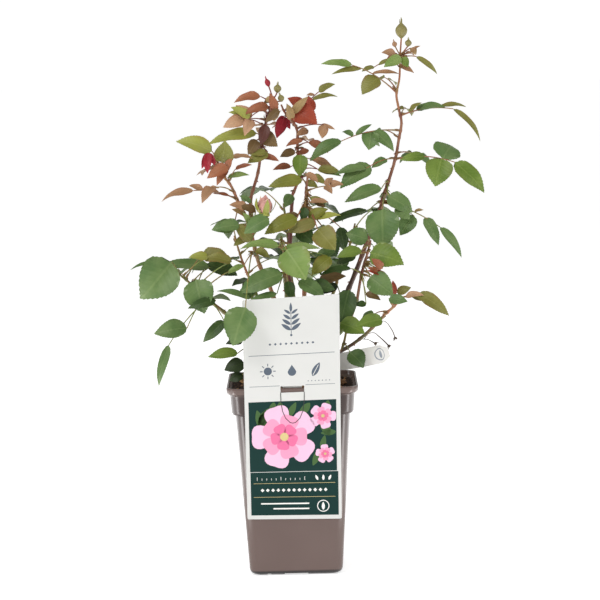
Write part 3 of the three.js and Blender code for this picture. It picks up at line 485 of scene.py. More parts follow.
clear_selection()
bpy.ops.mesh.primitive_grid_add(x_subdivisions=GRID, y_subdivisions=GRID, size=2,
                                location=(0, 0, SOIL_TOP * MM))
mix_block = new_piece("potting_mix")
for vertex in mix_block.data.vertices:
    x, y = vertex.co.x, vertex.co.y
    ring = max(abs(x), abs(y))
    if ring > 0:
        corner = math.hypot(x, y) / ring
        share = 1 - CORNER_DRAW * ((corner - 1) / DIAGONAL_MORE) ** 3
        x *= share
        y *= share
    vertex.co.x = x * MIX_HALF * MM
    vertex.co.y = y * MIX_HALF * MM
    calm = min(1, (1 - ring) * CALM_EDGE)
    vertex.co.z = (SOIL_TOP + calm * crumble(x * MIX_HALF, y * MIX_HALF) - SUNK_TOP) * MM
open_edit(mix_block)
bpy.ops.mesh.region_to_loop()
soil_levels = [(MIX_HALF, SOIL_TOP), (68.4, 211.2), (67.0, 190.5), (63.0, 187), (51.7, 10.9), (46, 4.4)]
extrude_profile(soil_levels, bpy.ops.mesh.extrude_edges_move)
bpy.ops.mesh.edge_face_add()
face_outwards()
close_edit()
smooth_below(mix_block, 50)

peat = Finish("moist_potting_mix", "2a1c13", 0.95, 0.2)
grit = peat.noise(420, 4)
peat.colour(peat.mix(peat.span(grit, 0.42, 0.68), "1d130d", "4a3122"))
peat.relief(peat.noise(700, 4), 0.8, 0.8)
hand_over(mix_block, [peat.material], "soil", "soil")

# %% [markdown]
# ## Bark chips
# A chip is a torn strip: longer than wide, thicker in the middle, with ragged ends. One chip is modelled
# from a cube, by two cuts and a few moved points, and it is then laid over the mix many times by array,
# each time with its own length, turn and tilt. Three tints are kept apart as three pieces.

# %% Bark chips


def mesh_arrays(piece):
    """A piece's points as an array and its faces as lists of point numbers."""
    points = np.zeros(len(piece.data.vertices) * 3)
    piece.data.vertices.foreach_get("co", points)
    return points.reshape(-1, 3), [list(face.vertices) for face in piece.data.polygons]


def copied_faces(faces, size, count):
    """The faces of count copies of a mesh that has size points, one copy after another."""
    return [[k + copy * size for k in face] for copy in range(count) for face in faces]


def piece_from(name, points, faces, kinds=None, uvs=None):
    """One mesh from points and faces, with a material number and a place on a map for each if given."""
    mesh = bpy.data.meshes.new(name)
    mesh.from_pydata(points.tolist() if hasattr(points, "tolist") else points, [], faces)
    if kinds is not None:
        mesh.polygons.foreach_set("material_index", kinds)
    if uvs is not None:
        layer = mesh.uv_layers.new(name="blade")
        order = np.zeros(len(mesh.loops), np.int32)
        mesh.loops.foreach_get("vertex_index", order)
        layer.uv.foreach_set("vector", np.asarray(uvs)[order].astype(np.float32).ravel())
    mesh.validate()
    piece = bpy.data.objects.new(name, mesh)
    bpy.context.scene.collection.objects.link(piece)
    return piece


clear_selection()
bpy.ops.mesh.primitive_cube_add(size=1, location=(0, 0, 0), scale=(1, 0.34, 0.16))
chip_master = new_piece("chip_master")
open_edit(chip_master)
for cut in (-0.22, 0.18):
    bpy.ops.mesh.select_all(action="SELECT")
    bpy.ops.mesh.bisect(plane_co=(cut, 0, 0), plane_no=(1, 0.2, 0))
pick(chip_master, "VERT", lambda m, v: abs(m.x) > 0.45 and m.z > 0)
bpy.ops.transform.resize(value=(0.9, 0.45, 0.3))
pick(chip_master, "VERT", lambda m, v: abs(m.x) < 0.3 and m.z > 0)
bpy.ops.transform.translate(value=(0, 0.03, 0.05))
close_edit()
chip_points, chip_faces = mesh_arrays(chip_master)
bpy.data.objects.remove(chip_master)

# %% Bark chips laid on the mix
CHIPS = 300
CHIP_REACH = 64              # half the side of the square that they lie in, in millimetres
CHIP_SHORTEST = 5
CHIP_LONGEST = 20
TILT_ALONG = 0.7             # radians from the steepest chip one way to the steepest the other way
TILT_ACROSS = 0.9
KIND_SPREAD = 3.3            # a little over three kinds, so that there are more orange chips than others
GRAFT_SPOT = (9, 4)
GRAFT_CLEAR = 16             # no chip's middle lies closer to the graft than this
draw = seeded(7)
chips = {"bark_chips_dark": [], "bark_chips_brown": [], "bark_chips_orange": []}
for number in range(CHIPS):
    length = CHIP_SHORTEST + (CHIP_LONGEST - CHIP_SHORTEST) * draw() ** 2
    reach = CHIP_REACH - 0.4 * length
    x = (2 * draw() - 1) * reach
    y = (2 * draw() - 1) * reach
    spin = Matrix.Rotation(draw() * math.tau, 4, "Z")
    tilt = Matrix.Rotation((draw() - 0.5) * TILT_ALONG, 4, "Y")
    tilt = tilt @ Matrix.Rotation((draw() - 0.5) * TILT_ACROSS, 4, "X")
    size = Matrix.Diagonal((length * MM, length * (0.8 + 0.6 * draw()) * MM, length * MM, 1))
    lift = (SOIL_TOP + crumble(x, y) + 0.1 * length * draw()) * MM
    place = Matrix.Translation((x * MM, y * MM, lift)) @ spin @ tilt @ size
    kind = list(chips)[min(2, int(draw() * KIND_SPREAD))]
    if max(abs(x - GRAFT_SPOT[0]), abs(y - GRAFT_SPOT[1])) >= GRAFT_CLEAR:
        chips[kind].append(place)
chip_tints = {"bark_chips_dark": ("2a1b13", "453022"), "bark_chips_brown": ("5c402b", "8a6442"),
              "bark_chips_orange": ("8f6540", "bd9568")}
for name, places in chips.items():
    points = [np.array([place @ Vector(p) for p in chip_points]) for place in places]
    faces = copied_faces(chip_faces, len(chip_points), len(places))
    chip_piece = piece_from(name, np.concatenate(points), faces)
    low, high = chip_tints[name]
    bark_finish = Finish(name + "_finish", low, 0.85, 0.3)
    fibre = bark_finish.noise(500, 3, (1, 1, 0.4))
    bark_finish.colour(bark_finish.mix(bark_finish.span(fibre, 0.3, 0.7), low, high))
    bark_finish.relief(fibre, 0.3, 0.6)
    hand_over(chip_piece, [bark_finish.material], "soil")

# %% [markdown]
# ## Canes
# A cane tapers from a pencil's width to a straw's, bends a little at each bud and is rarely quite
# straight. Each is a curve through a few marks with its own radius at every point, turned into a mesh,
# and then roughened by a displacement with a cloud texture. That gives a closed round limb with an even
# skin, where boxes extruded by hand would twist at every bend.

# %% Canes: the marks they run through, in millimetres, and their radii


def smooth_run(marks, steps):
    """A smooth path through the marks: a centripetal Catmull-Rom curve cut into even steps."""
    points = [Vector(m) for m in marks]
    path = []
    for i in range(steps + 1):
        place = i / steps * (len(points) - 1)
        k = min(int(place), len(points) - 2)
        share = place - k
        p1 = points[k]
        p2 = points[k + 1]
        p0 = points[k - 1] if k > 0 else 2 * p1 - p2
        p3 = points[k + 2] if k + 2 < len(points) else 2 * p2 - p1
        gaps = [max((b - a).length ** 0.5, 1e-4) for a, b in ((p0, p1), (p1, p2), (p2, p3))]
        first = (p1 - p0) / gaps[0] - (p2 - p0) / (gaps[0] + gaps[1]) + (p2 - p1) / gaps[1]
        last = (p2 - p1) / gaps[1] - (p3 - p1) / (gaps[1] + gaps[2]) + (p3 - p2) / gaps[2]
        first *= gaps[1]
        last *= gaps[1]
        square = -3 * p1 + 3 * p2 - 2 * first - last
        cube = 2 * p1 - 2 * p2 + first + last
        path.append(p1 + first * share + square * share ** 2 + cube * share ** 3)
    return path


def radius_along(radii, share):
    """Radius at a share of the way, from radii spread evenly over the limb."""
    place = share * (len(radii) - 1)
    low = min(int(place), len(radii) - 2)
    return radii[low] + (radii[low + 1] - radii[low]) * (place - low)


def radii_on(path, radii):
    """A radius for each point of a path."""
    return [radius_along(radii, i / (len(path) - 1)) for i in range(len(path))]


def curve_mesh(name, runs, sides):
    """A mesh of round limbs. Each run is a path in millimetres with its radius at each point."""
    curve = bpy.data.curves.new(name, "CURVE")
    curve.dimensions = "3D"
    curve.bevel_depth = MM
    curve.bevel_resolution = max(0, sides // 2 - 2)
    curve.use_fill_caps = True
    for path, radii in runs:
        spline = curve.splines.new("POLY")
        spline.points.add(len(path) - 1)
        for point, place, radius in zip(spline.points, path, radii):
            point.co = (*(place * MM), 1)
            point.radius = radius
    piece = bpy.data.objects.new(name, curve)
    bpy.context.scene.collection.objects.link(piece)
    take(piece)
    bpy.ops.object.convert(target="MESH")
    return bpy.context.object


limb_marks = {
    "tall_cane": ([[16.4, 5, 232.3], [31, 6, 258], [57.3, 10, 301.4], [76.7, 16, 342.7], [92.2, 22, 380.9],
        [108.6, 27, 419.1]], [3.4, 2.2]),
    "left_cane": ([[0.7, 2, 234.3], [-9.3, -2, 271.9], [-21.4, -8, 323.4], [-35.3, -14, 357],
        [-41.3, -18, 383.7], [-44.3, -20, 399.5]], [2.7, 1.9]),
    "left_fork": ([[-44.3, -20, 396.6], [-48.3, -24, 408.5], [-55.2, -28, 422.4]], [1.9, 1.6]),
    "upper_fork": ([[-44.3, -20, 400.1], [-42.5, -14, 431.7], [-33.8, -10, 461.1], [-30, -8, 484.6]],
        [2, 1.6]),
    "middle_cane": ([[5.6, 8, 236.1], [0.4, 14, 295], [-0.9, 17, 342.2], [2.7, 20, 403.1], [4.6, 21, 430.6]],
        [3, 2]),
    "front_cane": ([[2.7, -4, 236.6], [-2.5, -20, 292.4], [-5.7, -32, 342.2]], [2.8, 2]),
    "centre_cane": ([[12.5, 2, 237.4], [15.1, -2, 295.7], [17.7, -6, 355], [20.4, -10, 415.2]], [2.8, 1.9]),
    "side_cane": ([[13.5, -3, 234.6], [41.9, -12, 258.8], [67.2, -22, 290.9], [76.9, -27, 314.8]],
        [2.6, 1.8]),
    "low_right_cane": ([[14.5, -6, 233.7], [36, -19, 247.2], [53.7, -30, 253.7], [80.1, -46, 272.2],
        [106.5, -59, 298.5]], [2.3, 1.8]),
    "low_left_cane": ([[0.7, -3, 232.6], [-38.8, -9, 264.2], [-70.4, -13, 295.7], [-90.1, -14, 312.4]],
        [2.8, 2]),
    "back_left_cane": ([[0.7, 10, 232], [-21.1, 34, 270.4], [-43, 56, 320.7]], [2.8, 2]),
    "back_right_cane": ([[15.5, 10, 232.1], [35.8, 38, 276.5], [55.2, 60, 327]], [2.8, 2]),
    "back_cane": ([[7.6, 12, 234], [5.3, 46, 289.8], [0.1, 76, 343.8]], [2.8, 2]),
}
cane_paths = {name: smooth_run(marks, 6 * (len(marks) - 1)) for name, (marks, radii) in limb_marks.items()}

# %% Canes: swollen at each bud, and roughened
bark_grain = bpy.data.textures.new("bark_grain", "CLOUDS")
bark_grain.noise_scale = 4 * MM
BUD_GAP = 21                 # millimetres between the buds of a cane
BUD_SWELL = 0.22             # share by which a cane is thicker at a bud
BUD_LONG = 2.2               # millimetres over which the swelling fades


def bud_swelling(length_along):
    """How much thicker a cane is at a bud than between two of them."""
    away = abs(length_along / BUD_GAP - round(length_along / BUD_GAP)) * BUD_GAP
    return BUD_SWELL * math.exp(-((away / BUD_LONG) ** 2))


def lengths_of(path):
    """The length of a path from its start to each of its points."""
    total = [0]
    for a, b in zip(path, path[1:]):
        total.append(total[-1] + (b - a).length)
    return total


cane_pieces = {}
for name, (marks, radii) in limb_marks.items():
    path = smooth_run(marks, 20 * (len(marks) - 1))
    thick = [radius * (1 + bud_swelling(along))
             for radius, along in zip(radii_on(path, radii), lengths_of(path))]
    cane = curve_mesh(name + "_bark", [(path, thick)], 16)
    roughen(cane, bark_grain, 0.5)
    smooth_below(cane, 60)
    cane_pieces[name] = cane

# %% [markdown]
# ## The graft
# The canes rise from a knob where the garden rose was budded on its wild root. It is the oldest wood of
# the plant: grey-brown, lumpy and cracked. It is a limb of its own with a narrow neck and a thick head,
# and two displacements, one of broad lumps and one of fine cracks.

# %% Graft
union_marks = [[7.7, 4, 213.3], [7.7, 4, 218.5], [8.6, 4, 226.4], [8.6, 3, 235.3], [9.5, 3, 241.3]]
union_radii = [15, 10.5, 11, 14, 13, 5]
union_path = smooth_run(union_marks, 28)
graft = curve_mesh("graft_wood", [(union_path, radii_on(union_path, union_radii))], 40)
lumps = bpy.data.textures.new("graft_lumps", "CLOUDS")
lumps.noise_scale = 9 * MM
roughen(graft, lumps, 4)
apply_modifier(graft, "SUBSURF", levels=1, render_levels=1)
roughen(graft, bark_grain, 1.2)
smooth_below(graft, 70)

# %% [markdown]
# ## Bark
# Young rose bark is smooth and satin. Where the sun reaches it, it turns from green to red-brown, in
# flecks along the cane. So one finish is made from a base colour and a fleck colour, with noise drawn out
# along the limb, and each cane gets the pair that it has in life. Two canes are darker towards the foot;
# on the tall cane that is painted shade, for the shade of the leaves above it.

# %% Bark finishes


def bark(name, base, fleck, roughness=0.5, relief=0.25, foot=None):
    """A bark finish. foot is a darker colour below, and the two heights that it fades between."""
    finish = Finish(name, base, roughness, 0.45)
    streak = finish.noise(240, 4, (1, 1, 0.3))
    patch = finish.noise(38, 2)
    both = finish.math("ADD", finish.math("MULTIPLY", streak, 0.5), finish.math("MULTIPLY", patch, 0.5))
    skin = finish.mix(finish.span(both, 0.4, 0.62), base, fleck)
    if foot:
        code, low, high = foot
        ragged = finish.math("ADD", finish.level(), finish.math("MULTIPLY", patch, 0.05))
        skin = finish.mix(finish.span(ragged, low * MM, high * MM, 0.9, 0), skin, code)
    finish.colour(skin)
    finish.relief(finish.noise(900, 3, (1, 1, 0.35)), relief, 0.5)
    return finish.material


old_wood = bark("graft_bark", "4f4130", "7d6b50", 0.85, 0.9)
red_bark = bark("red_brown_bark", "74402e", "8f6146")
# The tall cane's dark foot is painted shade: the leaves above shade the lower cane.
tall_bark = bark("tall_cane_bark", "74402e", "8a5c42", 0.5, 0.25, ("43302a", 350, 430))
green_bark = bark("green_bark", "5d6a2f", "86693c")
tan_bark = bark("tan_bark", "97784c", "a56448")
dark_bark = bark("dark_red_bark", "5e2d28", "7d4a36")
rust_bark = bark("rust_bark", "8f5039", "8a5c42")
purple_bark = bark("purple_brown_bark", "6f7440", "7d5a40", 0.5, 0.25, ("4c3432", 272, 316))
cane_bark = {"tall_cane": tall_bark, "low_right_cane": purple_bark, "left_cane": tan_bark,
             "left_fork": red_bark, "upper_fork": red_bark, "middle_cane": dark_bark,
             "centre_cane": tan_bark}
for name, cane in cane_pieces.items():
    slot = "red_bark" if name == "tall_cane" else "green_bark"
    hand_over(cane, [cane_bark.get(name, green_bark)], slot, name)
hand_over(graft, [old_wood], "old_wood", "bud_union")

# %% [markdown]
# ## Prickles
# A rose's prickles grow from the skin, not the wood: flat at the foot, broad from above to below and
# hooked down. One is modelled from a cone that is pressed flat and bent, and copies are set along each
# cane at places that a seeded draw picks. They stand on the cane's skin, with their feet sunk in it.

# %% Prickles
clear_selection()
bpy.ops.mesh.primitive_cone_add(vertices=8, radius1=0.5, radius2=0.02, depth=1, location=(0, 0, 0.5))
prickle = new_piece("prickle_master")
open_edit(prickle)
bpy.ops.mesh.bisect(plane_co=(0, 0, 0.45), plane_no=(0, 0, 1))
pick(prickle, "VERT", lambda m, v: abs(m.z - 0.45) < 0.05)
bpy.ops.transform.translate(value=(0, 0.08, 0))
bpy.ops.transform.resize(value=(0.8, 0.7, 1))
pick(prickle, "VERT", lambda m, v: m.z > 0.9)
bpy.ops.transform.translate(value=(0, -0.32, 0))
pick(prickle, "VERT", lambda m, v: m.z < 0.1)
bpy.ops.transform.resize(value=(0.5, 1.25, 1))
close_edit()
prickle_points, prickle_faces = mesh_arrays(prickle)
bpy.data.objects.remove(prickle)

# %% Prickles set along the canes
FOOT_DEPTH = 0.85            # share of the limb's radius at which a prickle's foot lies


def set_prickles(name, runs, gap, size, seed):
    """Prickles on limbs. Each run is a path with radii; gap is the mean distance in millimetres."""
    draw = seeded(seed)
    points = []
    for path, radii in runs:
        along = lengths_of(path)
        place = gap * (0.4 + draw())
        while place < along[-1] - 2:
            at = min(range(len(path)), key=lambda i: abs(along[i] - place))
            way = (path[min(at + 1, len(path) - 1)] - path[max(at - 1, 0)]).normalized()
            side = way.orthogonal().normalized()
            angle = draw() * math.tau
            out = (side * math.cos(angle) + way.cross(side) * math.sin(angle)).normalized()
            big = size * (0.6 + 0.6 * draw())
            foot = path[at] + out * (radii[at] * FOOT_DEPTH)
            turned = Matrix((way.cross(out), way, out)).transposed()
            points.append(np.array([foot + turned @ (Vector(p) * big) for p in prickle_points]) * MM)
            place += gap * (0.5 + draw())
    faces = copied_faces(prickle_faces, len(prickle_points), len(points))
    piece = piece_from(name, np.concatenate(points), faces)
    smooth_below(piece, 50)
    return piece


cane_runs = [(path, radii_on(path, limb_marks[name][1])) for name, path in cane_paths.items()]
cane_prickles = set_prickles("cane_prickles", cane_runs, 15, 3.4, 3)
prickle_red = bark("prickle_skin", "8a3a2e", "a86a4c", 0.4, 0.1)
hand_over(cane_prickles, [prickle_red], "red_bark")

# %% [markdown]
# ## The plan of the foliage
# The foliage is grown, not scattered. Each shoot is a stem on the end of a cane. Its leaves stand at
# given heights, and each has the place where its stalk ends, the way its last leaflet points, that
# leaflet's length and width, how far its face turns up or to the front, and its tint. Side leaflets that
# show well in the picture are given one by one, each with its share of the way along the stalk, its run
# and its width, and others as pairs by rule. The last rows of some shoots are small leaves that lie
# behind others, and that the fixed model leaves out.

# %% Shoots: stems, leaves and buds in millimetres
shoots = []


def leaf(up, to, tip, length, width, face, tone, sides=(), pairs=0, look=-math.pi / 2):
    """One leaf. look is the way its face turns round the stem: to the front, unless another is given."""
    return {"up": up, "to": to, "tip": tip, "blade": (length, width), "face": face, "tone": tone,
            "sides": sides, "pairs": pairs, "look": look}


def bud(up, at, tip, length, width, tone):
    return {"up": up, "at": at, "tip": tip, "size": (length, width), "tone": tone}


def add_shoot(name, stem, leaves, buds=()):
    shoots.append({"name": name, "stem": stem, "leaves": leaves, "buds": buds})


add_shoot("tall_shoot_top", [[130.4, 36, 530.8], [128.3, 37, 545.4], [132.1, 38, 564], [133.4, 38, 589.5],
          [135.2, 38, 611]], [
    leaf(548, [77, 18, 581], [-34, -2, 2], 36, 11, 50, "pale", [[0.42, [-19, -8, -19], 22, "olive"],
         [0.55, [32, 4, 0], 6, "bronze"], [0.78, [-35, -8, -4], 8, "olive"]]),
    leaf(588, [103, 30, 578], [-14, -4, -4], 16, 8, 40, "olive", [[0.85, [27, -8, 5], 9]]),
    leaf(588, [152, 34, 589], [24, 0, -20], 32, 8, 50, "olive"),
    leaf(589, [145, 34, 593], [11, 0, 8], 15, 6, 30, "bronze", [[0.6, [10, 10, -2], 7]]),
    leaf(586, [136, 28, 589], [6, -4, -12], 14, 10, 80, "bright"),
    leaf(588, [134, 26, 589], [-20, -6, -11], 24, 13, 75, "pale"),
    leaf(591, [128, 30, 591], [-15, -4, 4], 17, 11, 60, "bronze", [[0.4, [-14, 8, -8], 9, "red_brown"]]),
    leaf(550, [116, 66, 565], [-12, 16, -10], 24, 14, 35, "olive", [[0.7, [10, 16, -6], 10]]),
    leaf(590, [146, 36, 599], [6, -2, -8], 10, 8, 60, "tan"),
    leaf(588, [130, 30, 579], [19, -2, -9], 21, 8, 50, "bronze"),
], [
    bud(607, [135.2, 38, 610.1], [0, 0, 1], 25, 14, "olive"),
    bud(591, [127.9, 36, 600.3], [-2, 0, 8.8], 10, 6, "bronze"),
    bud(591, [142.6, 36, 600.4], [0.9, 0, 8.8], 12, 8, "olive"),
])
add_shoot("tall_shoot_middle", [[124, 31, 467.2], [125.9, 31, 473.1], [129.7, 33, 492.6],
          [133.4, 35, 513.2], [130.4, 36, 529.8]], [
    leaf(521, [193, 20, 528], [33, -4, -37], 49, 9, 35, "olive", [[0.3, [25, 6, 7], 12, "mid"],
         [0.36, [29, -10, 4], 14, "mid"], [0.72, [33, 4, 2], 8], [0.16, [14, -6, 12], 9]]),
    leaf(503, [63, 14, 494], [-37, -4, -20], 43, 17, 45, "mid",
         [[0.49, [-4, -8, -21], 21], [0.47, [24, -8, -23], 17], [0.76, [19, 6, 13], 7],
         [0.8, [-13, 6, 6], 8]]),
    leaf(472, [91, 10, 462], [-35, -4, -4], 37, 12, 45, "mid",
         [[0.85, [-37, -10, -23], 25], [0.3, [-18, -10, -9], 12]]),
    leaf(471, [193, 8, 467], [33, -4, -35], 49, 21, 65, "bright",
         [[0.5, [-29, -6, -3], 12], [0.8, [12, 17, 15], 34, "mid"], [0.78, [-8, -8, -31], 32]]),
    leaf(478, [154, 62, 473], [14, 12, -16], 26, 16, 40, "mid", [[0.7, [-16, 14, -12], 14]]),
    leaf(496, [111, 62, 504], [-4, 16, -18], 26, 18, 40, "mid"),
    leaf(521, [140, 70, 528], [8, 20, -7], 24, 12, 30, "olive", [[0.7, [-14, 12, -4], 10]]),
])
add_shoot("tall_shoot_lower", [[108.6, 27, 420.1], [116.3, 29, 443.7], [124, 31, 466.2]], [
    leaf(445, [108, 4, 439], [-43, -8, -14], 46, 17, 55, "mid"),
    leaf(441, [115, 4, 430], [28, -6, -18], 34, 22, 60, "mid"),
    leaf(435, [124, 0, 417], [15, -6, -13], 21, 17, 65, "mid"),
    leaf(431, [108, -12, 416], [0, -8, -43], 46, 39, 80, "mid"),
    leaf(421, [175, 10, 392], [24, -3, -35], 43, 12, 40, "mid",
         [[0.74, [15, -8, -32], 15], [0.56, [11, 4, 2], 5, "tan"]]),
    leaf(423, [145, 6, 406], [-16, -6, -20], 28, 20, 60, "mid"),
    leaf(423, [93, 44, 410], [-45, 4, -13], 48, 16, 30, "deep"),
    leaf(433, [123, 66, 416], [10, 22, -17], 32, 20, 40, "deep", pairs=1),
])
add_shoot("upper_left_shoot", [[-30, -8, 485.6], [-26.2, -8, 509.1], [-18.5, -9, 531.8],
          [-12.7, -9, 547.5]], [
    leaf(544, [-11, -14, 544], [-15, -6, -4], 17, 9, 50, "dusk"),
    leaf(538, [-29, -12, 548], [-28, -3, -5], 31, 13, 50, "copper"),
    leaf(532, [-20, -20, 537], [-27, -6, -7], 29, 13, 60, "red_brown"),
    leaf(520, [-40, -14, 523], [-25, -4, 9], 27, 12, 50, "lime"),
    leaf(514, [-46, -22, 523], [-25, -6, -8], 28, 16, 60, "blush", pairs=1),
    leaf(500, [-34, -14, 506], [-54, -4, -10], 58, 17, 50, "lime"),
    leaf(496, [-34, -22, 499], [-9, -6, -14], 20, 14, 75, "dusk"),
    leaf(504, [-30, -18, 507], [16, -6, -13], 26, 18, 75, "dusk"),
    leaf(490, [-22, -22, 485], [-19, -6, -10], 27, 15, 65, "olive"),
    leaf(508, [-24, 22, 513], [-8, 22, -9], 26, 14, 30, "bronze", pairs=1),
    leaf(528, [-32, 12, 531], [-16, 16, -5], 24, 12, 30, "bronze"),
    leaf(536, [-12, -24, 530], [-6, -2, 22], 23, 10, 75, "red_brown"),
    leaf(522, [-8, -28, 533], [-16, -2, -14], 21, 10, 70, "dusk"),
    leaf(508, [-23, -24, 516], [-6, -4, -20], 24, 13, 80, "plum"),
    leaf(492, [-29, -22, 481], [-15, -4, -6], 17, 10, 55, "pale"),
    leaf(536, [-41, -22, 525], [-22, -4, 12], 25, 12, 60, "lime"),
    leaf(528, [-16, -16, 521], [10, -4, 11], 15, 8, 60, "tan"),
    leaf(520, [-23, -20, 546], [15, -2, -7], 17, 9, 65, "tan"),
    leaf(500, [-29, -18, 480], [20, -4, -6], 21, 9, 55, "red_brown"),
    leaf(494, [-24, -24, 485], [-18, -4, -2], 19, 10, 60, "olive"),
], [
    bud(544, [-19, -9, 558.6], [-3.6, 0, 11], 14, 6.4, "crimson"),
    bud(546, [-9.8, -9, 551.4], [0.9, 0, 9.8], 14, 9, "olive"),
    bud(542, [-4.5, -14, 541.4], [-2, -1, 8], 12, 7.5, "olive"),
])
add_shoot("left_shoot", [[-55.2, -28, 423.4], [-64.2, -34, 447.2], [-73, -38, 460], [-79, -40, 475.8]], [
    leaf(474, [-85, -40, 488], [-38, -4, 13], 42, 20, 60, "lime"),
    leaf(472, [-73, -44, 475], [3, -10, 22], 28, 23, 80, "moss"),
    leaf(470, [-89, -54, 487], [-1, -8, -22], 24, 10, 80, "crimson",
         [[0.95, [-8, -6, -17], 8], [0.93, [7, -4, -14], 7]]),
    leaf(460, [-67, -52, 471], [-23, -8, -12], 28, 14, 65, "copper",
         [[0.8, [-12, -8, -19], 10], [0.5, [8, -6, 14], 9]]),
    leaf(432, [-107, -44, 444], [-35, -4, -8], 38, 11, 45, "bronze",
         [[0.78, [-16, 6, 6], 8], [0.7, [14, -8, 4], 7], [0.4, [-14, -10, 2], 7]]),
    leaf(464, [-63, -34, 480], [22, 2, 0], 24, 9, 35, "bronze"),
    leaf(450, [-68, -38, 458], [22, -4, 3], 25, 8, 50, "pale"),
    leaf(425, [-62, -40, 403], [-24, -6, -3], 26, 18, 60, "mid"),
    leaf(456, [-85, -10, 467], [-14, 22, -7], 28, 16, 35, "bronze", pairs=1),
    leaf(440, [-83, -70, 448], [-12, -16, -13], 26, 14, 40, "bronze"),
    leaf(452, [-59, -42, 467], [19, -2, 5], 20, 7, 45, "red_brown"),
    leaf(430, [-66, -36, 436], [-20, -2, 4], 20, 5, 40, "red_brown"),
    leaf(426, [-46, -40, 423], [-21, -6, 4], 22, 11, 60, "bronze"),
    leaf(422, [-48, -40, 414], [-16, -2, 8], 18, 8, 50, "tan"),
])
add_shoot("bud_shoot", [[-43.4, -18, 414.2], [-37.5, -32, 405], [-31.6, -40, 401.4]], [
    leaf(405, [-22, -50, 411], [-29, -4, -16], 33, 20, 60, "mid"),
    leaf(407, [-37, -40, 419], [-18, -4, 6], 19, 11, 55, "dusk"),
    leaf(404, [-42, -46, 404], [-9, -2, 14], 17, 8, 60, "pale"),
    leaf(409, [-42, -34, 428], [-13, 0, 9], 16, 7, 50, "mid"),
    leaf(403, [-56, -48, 404], [-26, -6, -3], 27, 16, 60, "mid"),
    leaf(402, [-43, -46, 385], [-19, -2, 21], 28, 15, 65, "olive"),
    leaf(402, [-48, -34, 388], [-15, -5, -8], 18, 10, 55, "olive"),
    leaf(404, [-46, -32, 397], [-12, -5, 7], 15, 8, 50, "tan"),
], [
    bud(401, [-27.7, -44, 412.4], [0.9, 0, 9.8], 27, 21, "pink"),
])
add_shoot("centre_upper_shoot", [[4.6, 21, 431.6], [14.2, 25, 457], [12.1, 28, 483.4], [11, 28, 510.8],
          [-1.9, 28, 528.4], [-5.8, 28, 537.2]], [
    leaf(519, [8, 12, 531], [25, -8, -15], 33, 26, 75, "red"),
    leaf(526, [7, 8, 527], [18, -4, 19], 27, 10, 70, "tan"),
    leaf(530, [20, 18, 533], [-18, -4, 12], 22, 14, 70, "red"),
    leaf(523, [-3, 10, 521], [-8, -6, -19], 24, 13, 80, "crimson",
         [[0.8, [6, -6, -13], 8], [0.6, [-12, -4, -10], 9]]),
    leaf(515, [38, 22, 551], [18, -2, 9], 21, 11, 45, "olive", [[0.85, [-10, -4, 0], 5, "bronze"]]),
    leaf(509, [43, 14, 513], [-2, -4, -14], 16, 12, 75, "bronze", [[0.9, [16, -2, -6], 5]]),
    leaf(493, [18, 8, 496], [-18, -6, -5], 21, 8, 55, "copper"),
    leaf(497, [25, 24, 493], [22, -2, -11], 26, 11, 50, "copper"),
    leaf(485, [9, 8, 484], [-18, -6, -6], 19, 11, 60, "dusk"),
    leaf(481, [15, 4, 480], [-1, -6, -21], 26, 18, 80, "bright"),
    leaf(466, [4, 10, 466], [-21, -6, -3], 22, 9, 55, "red_brown"),
    leaf(474, [25, 26, 474], [29, -2, -13], 33, 11, 45, "bronze"),
    leaf(462, [35, 16, 462], [26, -4, -5], 28, 13, 50, "olive"),
    leaf(511, [3, 58, 514], [-8, 26, -9], 28, 16, 30, "red_brown", pairs=1),
    leaf(489, [31, 62, 490], [12, 24, -11], 28, 16, 30, "bronze", pairs=1),
    leaf(458, [21, 56, 453], [-14, 20, -11], 28, 18, 30, "mid"),
    leaf(525, [28, 22, 528], [-2, -2, 19], 19, 14, 70, "red"),
    leaf(517, [30, 20, 542], [29, -2, 5], 30, 8, 45, "olive"),
    leaf(470, [39, 14, 459], [23, -4, -5], 24, 8, 45, "pale"),
    leaf(454, [20, 10, 447], [15, -4, -5], 16, 10, 55, "olive"),
    leaf(436, [4, 8, 434], [-8, -6, -14], 17, 13, 70, "mid"),
    leaf(520, [6, 4, 520], [-5, -4, 18], 20, 10, 75, "tan"),
    leaf(500, [25, 20, 507], [-14, -4, -5], 15, 10, 60, "bronze"),
    leaf(486, [25, 18, 484], [-15, -4, -6], 17, 8, 55, "red_brown"),
    leaf(450, [28, 10, 455], [16, -4, -10], 19, 10, 60, "olive"),
])
